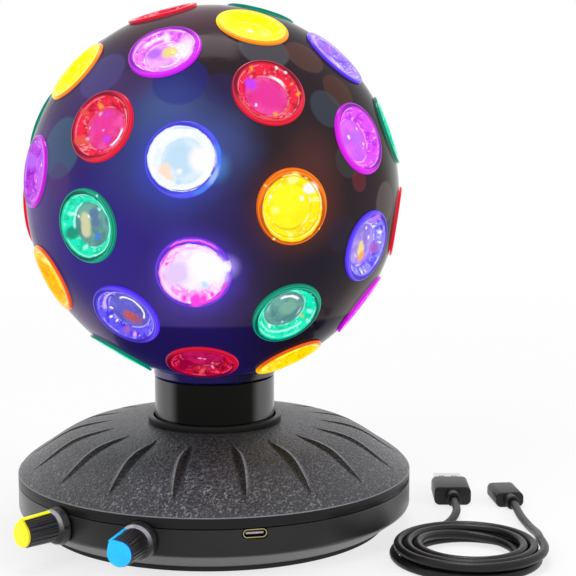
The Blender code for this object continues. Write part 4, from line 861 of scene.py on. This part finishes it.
def makeLens(name, place, material, node):
    reach, top, bottom = lens["flange"], lens["top"], lens["bottom"]
    seat, inner = [math.sqrt(ball["radius"] ** 2 - lens[part] ** 2) + lens["gap"]
                   for part in ("flange", "barrel")]
    floor = top - lens["recess"]
    crown = [(lens["floor"] * share, floor + rise) for share, rise in lens["crown"]]
    outline = [(lens["floor"], floor, 0.0004), (lens["opening"], top - 0.0001, 0.0004), (reach, top, 0.0009),
               (reach, seat, 0.0002), (lens["barrel"], inner), (lens["barrel"], bottom, 0.0002), (0, bottom)]
    bm = spun(softened(crown + outline), lens["steps"])
    layer = bm.loops.layers.uv.new("cup")
    for face in bm.faces:
        for loop in face.loops:
            loop[layer].uv = (0.5 + loop.vert.co.x / reach / 2, 0.5 + loop.vert.co.y / reach / 2)
    moved(bm, ballFrame @ place.to_4x4())
    return finishPiece(name, bm, material, "ball", [node], 40)


plainFinishes = {name: lensFinish(name + "Lens", name, lens["rim"])
                 for name in "yellow orange red magenta blue green".split()}


def makeLensSet(prefix, frames, colours, nodes):
    for index, (place, colour, node) in enumerate(zip(frames, colours.split(), nodes)):
        name = f"{prefix}{index + 1:02d}"
        marks = (lensSpots.get(name, ()), lensArcs.get(name, ()))
        look = thinRims.get(name, ownLooks.get(name, colour))
        rim = lens["thinRim"] if name in thinRims else lens["rim"]
        finish = lensFinish(name + "Finish", look, rim, *marks) if any(marks) else plainFinishes[colour]
        makeLens(name, place, finish, node)


makeLensSet("lensCentre", frontFrames[:1], "yellow", ["lens_centre"])
makeLensSet("lensInner", frontFrames[1:7], ball["innerColours"], [f"lens_inner_{i}" for i in range(1, 7)])
makeLensSet("lensOuter", frontFrames[7:], ball["outerColours"], [f"lens_outer_{i:02d}" for i in range(1, 12)])
makeLensSet("lensSeam", seamFrames, ball["seamColours"], [f"lens_seam_{i:02d}" for i in range(1, 11)])
makeLensSet("lensRearCentre", rearFrames[:1], "magenta", ["rear_lens_set"])
makeLensSet("lensRearInner", rearFrames[1:7], ball["rearInner"], ["rear_lens_set"] * 6)
makeLensSet("lensRearOuter", rearFrames[7:], ball["rearOuter"], ["rear_lens_set"] * 11)
print("lenses made")

# Hub and neck: gloss black; the hub's heights are from the ball's centre
hub = {"radius": 0.02475, "neck": 0.024, "bottom": -0.0739, "rimTop": -0.0707, "flange": 0.0259,
       "flangeBottom": -0.0673, "flangeTop": -0.0653, "plateBottom": -0.0678, "bore": 0.0048, "teeth": 50,
       "tip": 0.01955, "root": 0.0209, "rootWall": 0.0004, "toothInset": 0.0006}
neck = {"radius": 0.0245, "wall": 0.002, "top": 0.06115, "bottom": 0.0405, "flange": 0.0295,
        "flangeThick": 0.003, "bore": 0.0048, "boss": 0.007, "bossTop": 0.06745, "plate": 0.0022}


def glossFinish(name, glow):  # painted light: the ball's blue glow, painted on the left of the hub
    stops = [(0.3, tint(11, 12, 10)), (0.7, tint(20, 21, 17))]
    material, tree, shader = mottled(name, stops, (30, 3), (160, 4, 0.3, 0.7, 0.1, 0.2), (900, 2), 0.000006,
                                     {"Emission Strength": 1.0})
    across = along(tree, objectPlace(tree), "X")
    light = blend(tree, ease(tree, across, 0.0, 0.018), glow, dark)
    sideways = addNode(tree, "LayerWeight", {"Blend": 0.5}, "Facing")
    sheen = ease(tree, sideways, 0.2, 0.36, 0.06, 1.0)
    wire(tree, shader, {"Emission Color": light, "Specular IOR Level": sheen})
    return material


def makeHub():
    levels = "bottom rimTop flangeBottom flangeTop plateBottom".split()
    up = {level: ball["height"] + hub[level] for level in levels}
    wall = hub["root"] + hub["rootWall"]
    outline = [(wall, up["bottom"], 0.0002), (hub["radius"], up["bottom"], 0.0006),
               (hub["radius"], up["rimTop"], 0.0004), (hub["neck"], up["rimTop"] + 0.0002),
               (hub["neck"], up["flangeBottom"]), (hub["flange"], up["flangeBottom"], 0.0002),
               (hub["flange"], up["flangeTop"], 0.0002), (hub["bore"], up["flangeTop"], 0.0002),
               (hub["bore"], up["plateBottom"], 0.0002), (wall, up["plateBottom"])]
    outer, low, steps = hub["root"] + hub["toothInset"], up["bottom"] + hub["toothInset"], hub["teeth"] * 4
    high = up["plateBottom"]
    ring = spun([(outer, low), (outer, high), (hub["tip"], high), (hub["tip"], low)], steps, True)
    for vert in ring.verts:  # the gear's teeth point inwards, with a gap after each
        step = round(math.atan2(vert.co.y, vert.co.x) / math.tau * steps) % 4
        if step > 1 and math.hypot(vert.co.x, vert.co.y) < hub["root"]:
            vert.co.x *= hub["root"] / hub["tip"]
            vert.co.y *= hub["root"] / hub["tip"]
    parts = joined([spun(softened(outline), 120, True), ring])
    finishPiece("hubRim", parts, glossFinish("hubGloss", tint(20, 11, 72)), "ball", ["ball_hub"])


def makeNeck():
    inside = neck["radius"] - neck["wall"]
    under, low = neck["top"] - neck["plate"], neck["bottom"] - neck["flangeThick"]
    outline = [(neck["bore"], under, 0.0002), (neck["bore"], neck["bossTop"], 0.0002),
               (neck["boss"], neck["bossTop"], 0.0003), (neck["boss"], neck["top"], 0.0003),
               (neck["radius"], neck["top"], 0.0006), (neck["radius"], neck["bottom"], 0.0004),
               (neck["flange"], neck["bottom"], 0.0003), (neck["flange"], low, 0.0003),
               (inside, low, 0.0002), (inside, under, 0.0006)]
    column = spun(softened(outline), 120, True)
    finishPiece("neckColumn", column, glossFinish("glossBlack", dark), "base", ["neck_column"])


makeHub()
makeNeck()
print("hub and neck made")

# Base cover: pebble grain, with leaf-shaped grooves round the dome; shares run from the collar to the rim
cover = {
    "radius": 0.0804, "seam": 0.0192, "rim": 0.0233, "top": 0.0426, "collarIn": 0.0251, "collarOut": 0.0273,
    "collarTop": 0.04485, "wall": 0.002, "rings": 64, "edge": 0.0002, "inset": 0.0012,
    "shares": ((0, 1), (0.127, 0.995), (0.336, 0.934), (0.6, 0.755), (0.848, 0.335), (0.962, 0.115), (1, 0)),
}
groove = {
    "count": 18, "phase": 9.2, "start": 0.0435, "end": 0.0745, "width": 0.0045, "depth": 0.0012,
    "landColumns": 8,
    "shares": ((-0.04, 0.0), (0.0, 0.16), (0.12, 0.6), (0.32, 0.96), (0.5, 1.0), (0.75, 0.8), (0.92, 0.48),
               (1.0, 0.2), (1.04, 0.0)),
    "across": (-1.0, -0.93, -0.82, -0.66, -0.45, -0.2, 0.0, 0.2, 0.45, 0.66, 0.82, 0.93, 1.0),
}


def between(points, value):  # a smooth curve through the points, read at a value
    if value <= points[0][0]:
        return points[0][1]
    for index in range(len(points) - 1):
        (x0, y0), (x1, y1) = points[index], points[index + 1]
        if value <= x1:
            before = points[max(index - 1, 0)]
            after = points[min(index + 2, len(points) - 1)]
            slopeIn = (y1 - before[1]) / (x1 - before[0])
            slopeOut = (after[1] - y0) / (after[0] - x0)
            span = x1 - x0
            t = (value - x0) / span
            slopes = (t**3 - 2 * t**2 + t) * span * slopeIn + (t**3 - t**2) * span * slopeOut
            return (2 * t**3 - 3 * t**2 + 1) * y0 + (3 * t**2 - 2 * t**3) * y1 + slopes
    return points[-1][1]


def domeHeight(reach):
    share = (reach - cover["collarOut"]) / (cover["radius"] - cover["collarOut"])
    return cover["rim"] + (cover["top"] - cover["rim"]) * between(cover["shares"], share)


def coverOutline():
    radius, edge, wall = cover["radius"], cover["edge"], cover["wall"]
    span = radius - cover["collarOut"]
    places = [cover["collarOut"] + span * index / cover["rings"] for index in range(cover["rings"] + 1)]
    dome = [(reach, domeHeight(reach)) for reach in places]
    collar = [(cover["collarIn"], cover["collarTop"], 0.0005),
              (cover["collarOut"], cover["collarTop"], 0.0006)]
    rim = [(radius - edge, cover["rim"] + edge), (radius, cover["rim"] - edge),
           (radius, cover["seam"], 0.0003), (radius - wall, cover["seam"], 0.0002)]
    inside = [(reach - cover["inset"], height - wall) for reach, height in dome[-6::-6]]
    return softened(collar + dome[:-1] + rim + inside + [(cover["collarIn"], cover["top"] - wall)])


def makeCover(material):
    across = groove["across"]
    columns = len(across) - 1 + groove["landColumns"]
    bm = spun(coverOutline(), groove["count"] * columns, True)
    paintedShading = bm.verts.layers.float.new("paintedShading")
    pitch = math.tau / groove["count"]
    for vert in bm.verts:
        reach = math.hypot(vert.co.x, vert.co.y)
        angle = math.atan2(vert.co.y, vert.co.x)
        column = round(angle / math.tau * groove["count"] * columns) % (groove["count"] * columns)
        cell, step = divmod(column, columns)
        far = (reach - groove["start"]) / (groove["end"] - groove["start"])
        share = max(between(groove["shares"], far), 0) if -0.04 < far < 1.04 else 0.0
        half = groove["width"] / 2 * max(share, 0.2) / max(reach, 0.03)
        centre = math.radians(groove["phase"] - 90) + pitch * cell
        drop = 0.0
        if step < len(across):
            turned = centre + half * across[step]
            drop = groove["depth"] * share * (1 - abs(across[step]) ** 3)
        else:
            turned = centre + half + (pitch - 2 * half) * (step - len(across) + 1) / groove["landColumns"]
        surface = domeHeight(min(max(reach, cover["collarOut"]), cover["radius"]))
        outside = vert.co.z > surface - 0.0004 and reach > cover["collarOut"] + 0.002
        vert.co.x = reach * math.cos(turned)
        vert.co.y = reach * math.sin(turned)
        if outside:
            vert.co.z -= drop
            if share and step < len(across):  # painted highlight on the rear edge, painted shade on the floor beside it
                side = across[step] * math.copysign(1, math.cos(turned))
                shaded = min(max(0.6 + 0.7 * side, 0), 1) * (side < 0.95)
                vert[paintedShading] = share if side > 0.97 else -share * shaded
    finishPiece("coverDome", bm, material, "base", ["base_cover"], 30)


def pebbleFinish():
    material, tree, shader = newFinish("pebbleGrain", {})
    place = objectPlace(tree)
    height = along(tree, place, "Z")
    reach = measure(tree, "LENGTH", combine(tree, "MULTIPLY", place, (1, 1, 0)))
    rim, collar = cover["rim"], cover["collarOut"]
    grained = times(tree, ease(tree, height, rim, rim + 0.0004),
                    ease(tree, reach, collar + 0.0006, collar + 0.003))
    bent = shaken(tree, 0.0022, place, grain(tree, place, 400, 2))
    pebbles = addNode(tree, "TexVoronoi", {"Vector": bent, "Scale": 900})
    fine = grain(tree, place, 1500, 4, 0.65)
    # the pebbles darken into the creases between them: painted shade
    shade = ramp(tree, pebbles, [(0.05, tint(56, 56, 60)), (0.35, tint(32, 32, 35)), (0.7, tint(14, 14, 16))])
    ridgeAndGlint = ease(tree, grain(tree, bent, 1050, 4, 0.7), 0.51, 0.575)
    stops = [(0.35, tint(126, 124, 146)), (0.5, tint(150, 152, 158)), (0.65, tint(140, 130, 132))]
    glintHues = ramp(tree, grain(tree, place, 350, 2), stops)
    lowerSheen = ease(tree, height, cover["top"] - 0.001, rim + 0.006, 0.25, 0.85)  # painted sheen and glints show most low down
    shade = blend(tree, times(tree, lowerSheen, 0.35), shade, tint(66, 67, 74))
    # painted glints on the ridges, in pale hues
    shade = blend(tree, times(tree, ridgeAndGlint, lowerSheen), shade, glintHues)
    shade = blend(tree, ease(tree, grain(tree, place, 24, 3), 0.4, 0.7, 0.0, 0.4), shade, tint(40, 40, 43))
    paintedShading = addNode(tree, "Attribute", {}, "Fac", attribute_name="paintedShading")
    # painted shade on the groove floors beside the rear edges
    shade = blend(tree, ease(tree, paintedShading, -0.05, -0.5, 0.0, 0.95), shade, tint(9, 9, 10))
    shade = blend(tree, grained, tint(21, 21, 23), shade)
    # painted highlights along the rim edge and the grooves' rear edges
    rimHighlight = band(tree, height, rim - 0.0003, rim - 0.0001, rim + 0.0001, rim + 0.0003)
    line = calc(tree, "MAXIMUM", rimHighlight, ease(tree, paintedShading, 0.25, 0.8))
    shade = blend(tree, times(tree, line, 0.8), shade, tint(146, 146, 152))
    wire(tree, shader, {"Base Color": shade, "Roughness": ease(tree, fine, 0.3, 0.7, 0.24, 0.4),
                        "Specular IOR Level": ease(tree, grained, 0.0, 1.0, 0.2, 0.7)})
    rough = calc(tree, "MULTIPLY_ADD", fine, 0.6, calc(tree, "SUBTRACT", times(tree, ridgeAndGlint, 0.6), pebbles))
    bump(tree, shader, times(tree, rough, grained), 0.0004)
    return material


makeCover(pebbleFinish())
print("cover made")

# Tray, foot and port
tray = {"bottomRadius": 0.0719, "bottom": 0.0023, "chamferTop": 0.0087, "top": 0.0189, "inside": 0.0784,
        "lip": 0.0781, "ledge": 0.0767, "floor": 0.0045, "lipTop": 0.0209, "ledgeBottom": 0.0157,
        "ledgeRise": 0.0014, "boss": 0.0285, "bossIn": 0.0255, "bossTop": 0.0371, "cutReach": 0.004}
foot = {"radius": 0.07015, "thick": 0.002}
port = {"azimuth": 11.3, "height": 0.01702, "slot": (0.01004, 0.00436), "size": (0.00894, 0.00326),
        "length": 0.00735, "wall": 0.0003, "back": 0.0006, "end": 0.001, "tongue": (0.00669, 0.0007, 0.0058),
        "tongueUp": 0.0009}
knob = {
    "height": 0.0143, "azimuths": {"yellow": -45.8, "blue": -19.4}, "turns": {"yellow": 0, "blue": 35},
    "gap": 0.0007, "skirt": 0.0075, "skirtTop": 0.0068, "skirtHeight": 0.0026, "chamfer": 0.0014,
    "grip": 0.0055, "gripEnd": 0.0051, "flute": 0.0004, "length": 0.0124, "flutes": 18, "bore": 0.0033,
    "boreDepth": 0.010, "cap": 0.0048, "capThick": 0.001, "capGap": 0.0003, "capBevel": 0.0008,
    "pointer": 0.0016, "pointerThick": 0.0008, "shaftHole": 0.0042,
}


def wallFrame(azimuth, height):
    return facing(outwards(azimuth, cover["radius"], height), azimuth)


def trayFinish():
    stops = [(0.3, tint(24, 24, 25)), (0.7, tint(33, 33, 34))]
    material, tree, shader = mottled("satinBlack", stops, (22, 4), (2200, 3, 0.25, 0.75, 0.32, 0.46),
                                     (2200, 3), 0.00003)
    sideways = addNode(tree, "LayerWeight", {"Blend": 0.5}, "Facing")
    # painted reflection: paler where the surface turns away, at grazing angles
    shade = blend(tree, ease(tree, sideways, 0.62, 0.97, 0.0, 0.7), baseColour(shader), tint(150, 150, 154))
    low = along(tree, objectPlace(tree), "Z")
    # painted reflection of the floor on the chamfer
    chamfer = ease(tree, low, tray["chamferTop"], tray["chamferTop"] - 0.0008, 0.0, 0.7)
    shade = blend(tree, chamfer, shade, tint(74, 74, 78))
    # painted shade along the bottom edge
    under = ease(tree, low, tray["bottom"] + 0.001, tray["bottom"] + 0.0004, 0.0, 0.8)
    shade = blend(tree, under, shade, tint(26, 26, 27))
    wire(tree, shader, {"Base Color": shade, "Specular IOR Level": ease(tree, sideways, 0.15, 0.6, 0.3, 1.0)})
    return material


def makeTray():
    floor, lip, side = tray["floor"], tray["lipTop"], cover["radius"]
    step = tray["ledgeBottom"]
    corners = [(tray["bossIn"], floor, 0.0003), (tray["bossIn"], tray["bossTop"], 0.0003),
               (tray["boss"], tray["bossTop"], 0.0003), (tray["boss"], floor, 0.0006),
               (tray["bottomRadius"], floor, 0.001), (tray["inside"], tray["chamferTop"], 0.0006),
               (tray["inside"], step - tray["ledgeRise"]), (tray["ledge"], step),
               (tray["ledge"], lip, 0.0002), (tray["lip"], lip, 0.0002), (tray["lip"], tray["top"]),
               (side, tray["top"], 0.0003), (side, tray["chamferTop"], 0.0012),
               (tray["bottomRadius"], tray["bottom"], 0.0012), (0, tray["bottom"]), (0, floor)]
    bm = spun(softened(corners), 180, True)
    out = tray["cutReach"]
    depth = side - tray["ledge"] + out
    slot = extruded(stadium(*port["slot"]), -depth, out)
    cutters = [moved(slot, wallFrame(port["azimuth"], port["height"]))]
    for azimuth in knob["azimuths"].values():
        hole = spun([(0, -depth), (knob["shaftHole"], -depth), (knob["shaftHole"], out), (0, out)], 32)
        cutters.append(moved(hole, wallFrame(azimuth, knob["height"])))
    bm = carved(bm, joined(cutters))
    finishPiece("trayShell", bm, trayFinish(), "base", ["base_tray"], 32)


def makeFoot():
    stops = [(0.3, tint(28, 28, 29)), (0.7, tint(44, 44, 45))]
    material, tree, shader = mottled("footRubber", stops, (300, 4), inputs={"Roughness": 0.8})
    place = objectPlace(tree)
    waves = {"Vector": place, "Scale": 90.0, "Distortion": 0.0}
    rings = addNode(tree, "TexWave", waves, wave_type="RINGS", rings_direction="Z")
    bump(tree, shader, calc(tree, "ADD", rings, grain(tree, place, 1500, 3)), 0.00008)
    reach, thick = foot["radius"], foot["thick"]
    outline = softened([(0, 0), (reach, 0, 0.0004), (reach, thick, 0.0003), (0, thick)])
    finishPiece("footPad", spun(outline, 144), material, "base", ["anti_slip_pad"])


def socketFinish():  # gold round the opening, painted shade inside it
    material, tree, shader = platedFinish("socketGold", tint(196, 178, 132), 0.3)
    outward = tuple(outwards(port["azimuth"], 1, 0))
    depth = measure(tree, "DOT_PRODUCT", addNode(tree, "TexCoord", {}, "Object"), outward)
    front = cover["radius"] - port["back"]
    inside = ease(tree, depth, front - 0.0002, front - 0.0008)
    shade = blend(tree, inside, baseColour(shader), tint(14, 13, 13))
    wire(tree, shader, {"Base Color": shade, "Metallic": calc(tree, "SUBTRACT", 1.0, inside)})
    return material


def makePort():
    spot = wallFrame(port["azimuth"], port["height"])
    front, back = -port["back"], -port["back"] - port["length"]
    bm = hollowed(extruded(stadium(*port["size"]), back, front), port["wall"], port["length"] - port["end"])
    finishPiece("portSocket", moved(bm, spot), socketFinish(), "base", ["usb_c_socket"], 50)
    tongue = box(port["tongue"], (0, 0, back + port["tongueUp"] + port["tongue"][2] / 2))
    rounded(tongue, list(tongue.edges), 0.0001, 2)
    stops = [(0.3, tint(160, 152, 156)), (0.7, tint(196, 190, 194))]
    plastic = mottled("portTongue", stops, (700, 3), None, (3000, 2), 0.00001, {"Roughness": 0.4})[0]
    finishPiece("portTongue", moved(tongue, spot), plastic, "base")


makeTray()
makeFoot()
makePort()
print("tray, foot and port made")


# Knobs: fluted bodies with a painted highlight ring on the skirt's chamfer, coloured caps with a pointer
def fluted(bm, start):
    for vert in bm.verts:
        reach = math.hypot(vert.co.x, vert.co.y)
        if vert.co.z > start + 0.0002 and reach > knob["bore"] + 0.0004:
            wave = abs(math.sin(math.atan2(vert.co.y, vert.co.x) * knob["flutes"] / 2))
            share = 1 - knob["flute"] * (1 - wave) ** 2 / knob["grip"]
            vert.co.x *= share
            vert.co.y *= share
    return bm


def skirtHighlightFinish():  # the turned ring carries a painted highlight, with painted shade where it looks down
    stops = [(0.3, tint(132, 130, 136)), (0.65, tint(186, 184, 190))]
    material, tree, shader = mottled("skirtHighlightRing", stops, (260, 4), None, (2600, 2), 0.00001,
                                     {"Roughness": 0.28})
    height = along(tree, objectPlace(tree), "Z")
    upper = ease(tree, height, knob["height"] - 0.001, knob["height"] + 0.0055)
    shade = blend(tree, upper, tint(34, 33, 35), baseColour(shader))
    wire(tree, shader, {"Base Color": shade, "Metallic": ease(tree, upper, 0.0, 1.0, 0.3, 0.9)})
    return material


def capFinish(name, face, edge):
    stops = [(0.3, dimmed(face, 0.9)), (0.6, face)]
    material, tree, shader = mottled(name, stops, (260, 3), None, (2500, 2), 0.00001,
                                     {"Roughness": 0.3, "Emission Strength": 1.0})
    # painted shade on the bevel; the emission adds a faint glow of the cap's colour, painted light
    side = addNode(tree, "Attribute", {}, "Fac", attribute_name="paintedShading")
    shade = blend(tree, ease(tree, side, 0.2, 0.8), baseColour(shader), edge)
    wire(tree, shader, {"Base Color": shade, "Emission Color": blend(tree, 0.7, shade, dark)})
    return material


def teardrop(radius, tip, halfWidth, count=64):
    corner = math.acos(radius / (tip + 0.0008))
    points = []
    for index in range(count):
        angle = math.tau * index / count - math.pi
        reach = radius / math.cos(corner - abs(angle)) if abs(angle) < corner else radius
        x, y = reach * math.sin(angle), reach * math.cos(angle)
        if y > radius:
            x = max(min(x, halfWidth), -halfWidth) if y > tip - 0.0006 else x
            y = min(y, tip)
        points.append((-x, y))
    return points


def makeCap(colour, spot, start, end, material):
    half, out, gap = knob["pointer"] / 2, knob["pointerThick"], knob["capGap"]
    top = end + gap + knob["capThick"]
    root, tip = knob["grip"] + gap, knob["gripEnd"] + gap
    face = extruded(teardrop(knob["cap"], tip + out - 0.0002, half), end + gap, top)
    rims = [edge for edge in face.edges if all(abs(vert.co.z - top) < 0.00001 for vert in edge.verts)]
    rounded(face, rims, knob["capBevel"], 3)
    side = [(root, start + 0.0003), (root + out, start + 0.0003),
            (tip + out, top - 0.0002), (tip, top - 0.0002)]
    strip = extruded(side, -half, half)
    rounded(strip, list(strip.edges), 0.0002, 2)
    moved(strip, Matrix(((0, 0, 1, 0), (1, 0, 0, 0), (0, 1, 0, 0), (0, 0, 0, 1))))
    for shape, low in ((face, top - 0.0001), (strip, -1)):  # painted shade on the face's bevel
        paintedShading = shape.verts.layers.float.new("paintedShading")
        for vert in shape.verts:
            vert[paintedShading] = 1.0 if vert.co.z < low else 0.0
    cap = moved(joined([face, strip]), spot)
    finishPiece(colour + "Cap", cap, material, colour + "_knob", [colour + "_knob_cap"])


def makeKnob(colour, capMaterial):
    turn = Matrix.Rotation(math.radians(knob["turns"][colour]), 4, "Z")
    spot = wallFrame(knob["azimuths"][colour], knob["height"]) @ turn
    body, gap, bore = colour + "_knob", knob["gap"], knob["bore"]
    skirtTop = gap + knob["skirtHeight"]
    start = skirtTop + knob["chamfer"]
    end = start + knob["length"]
    skirt, grip, tip = knob["skirtTop"], knob["grip"], knob["gripEnd"]
    outline = [(0, gap + knob["boreDepth"]), (bore, gap + knob["boreDepth"]), (bore, gap, 0.0002),
               (knob["skirt"], gap, 0.0003), (skirt, skirtTop, 0.0003), (grip + 0.0001, start),
               (grip, start + 0.0002), (grip - 0.00002, start + 0.0006),
               ((grip + tip) / 2, start + knob["length"] / 2), (tip, end, 0.0004), (0, end)]
    bm = fluted(spun(softened(outline), knob["flutes"] * 8), start)
    finishPiece(colour + "Knob", moved(bm, spot), knobBlack, body, [body], 40)
    # a thin ring over the chamfer, carrying the painted highlight
    ring = spun([(skirt - 0.00012, skirtTop + 0.0002), (grip + 0.00022, start + 0.00002),
                 (grip + 0.0001, start - 0.0003), (skirt - 0.0004, skirtTop - 0.0001)], 96, True)
    finishPiece(colour + "SkirtHighlight", moved(ring, spot), skirtHighlightMaterial, body)
    makeCap(colour, spot, start, end, capMaterial)


knobBlack = mottled("knobBlack", [(0.3, tint(20, 20, 22)), (0.7, tint(34, 34, 38))], (200, 3),
                    (2000, 3, 0.25, 0.75, 0.24, 0.4), (2400, 2), 0.000015)[0]
skirtHighlightMaterial = skirtHighlightFinish()
# each cap's second colour is the painted shade on its bevel
makeKnob("yellow", capFinish("capYellow", tint(255, 250, 0), tint(206, 190, 0)))
makeKnob("blue", capFinish("capBlue", tint(0, 186, 255), tint(0, 50, 132)))
print("knobs made")


# Parts inside the lamp keep their CAD shapes
def metalFinish(name, colour, roughness, scale):
    gloss = (scale * 4, 3, 0.25, 0.75, roughness * 0.75, roughness * 1.3)
    stops = [(0.3, dimmed(colour, 0.7)), (0.65, colour)]
    return mottled(name, stops, (scale, 4), gloss, (scale * 8, 2), 0.00001, {"Metallic": 1.0})[0]


def plasticFinish(name, light, shade, roughness, scale):
    stops = [(0.3, shade), (0.7, light)]
    return mottled(name, stops, (scale, 4), None, (scale * 10, 3), 0.00002, {"Roughness": roughness})[0]


def boardFinish():
    material, tree, shader = newFinish("boardLaminate", {"Roughness": 0.35})
    place = objectPlace(tree)
    tracks = addNode(tree, "TexBrick", {
        "Vector": place, "Scale": 180.0, "Mortar Size": 0.03, "Mortar": tint(40, 132, 80),
        "Color1": tint(14, 84, 46), "Color2": tint(18, 96, 54)})
    shade = blend(tree, ease(tree, grain(tree, place, 90, 3), 0.4, 0.6), tracks, tint(12, 74, 40))
    wire(tree, shader, {"Base Color": shade})
    bump(tree, shader, grain(tree, place, 1500, 2), 0.00002)
    return material


shaftMetal = metalFinish("shaftMetal", tint(196, 194, 190), 0.26, 140)
potCase = plasticFinish("potCase", tint(60, 54, 44), tint(42, 38, 32), 0.5, 120)
innerFinishes = {
    "drive_motor": metalFinish("motorCase", tint(176, 176, 180), 0.3, 60),
    "led_post": metalFinish("postMetal", tint(186, 186, 190), 0.28, 80),
    "retaining_ring": metalFinish("ringMetal", tint(160, 160, 166), 0.34, 120),
    "drive_pinion": plasticFinish("pinionNylon", tint(232, 231, 222), tint(214, 212, 202), 0.4, 80),
    "led_head": plasticFinish("ledHead", tint(245, 244, 236), tint(228, 226, 216), 0.35, 60),
    "control_board": boardFinish(),
    "yellow_knob_shaft": shaftMetal, "blue_knob_shaft": shaftMetal,
    "yellow_potentiometer": potCase, "blue_potentiometer": potCase,
}
for node, finish in innerFinishes.items():
    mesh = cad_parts[node].data
    mesh.materials.clear()
    mesh.materials.append(finish)
print("inner parts finished")
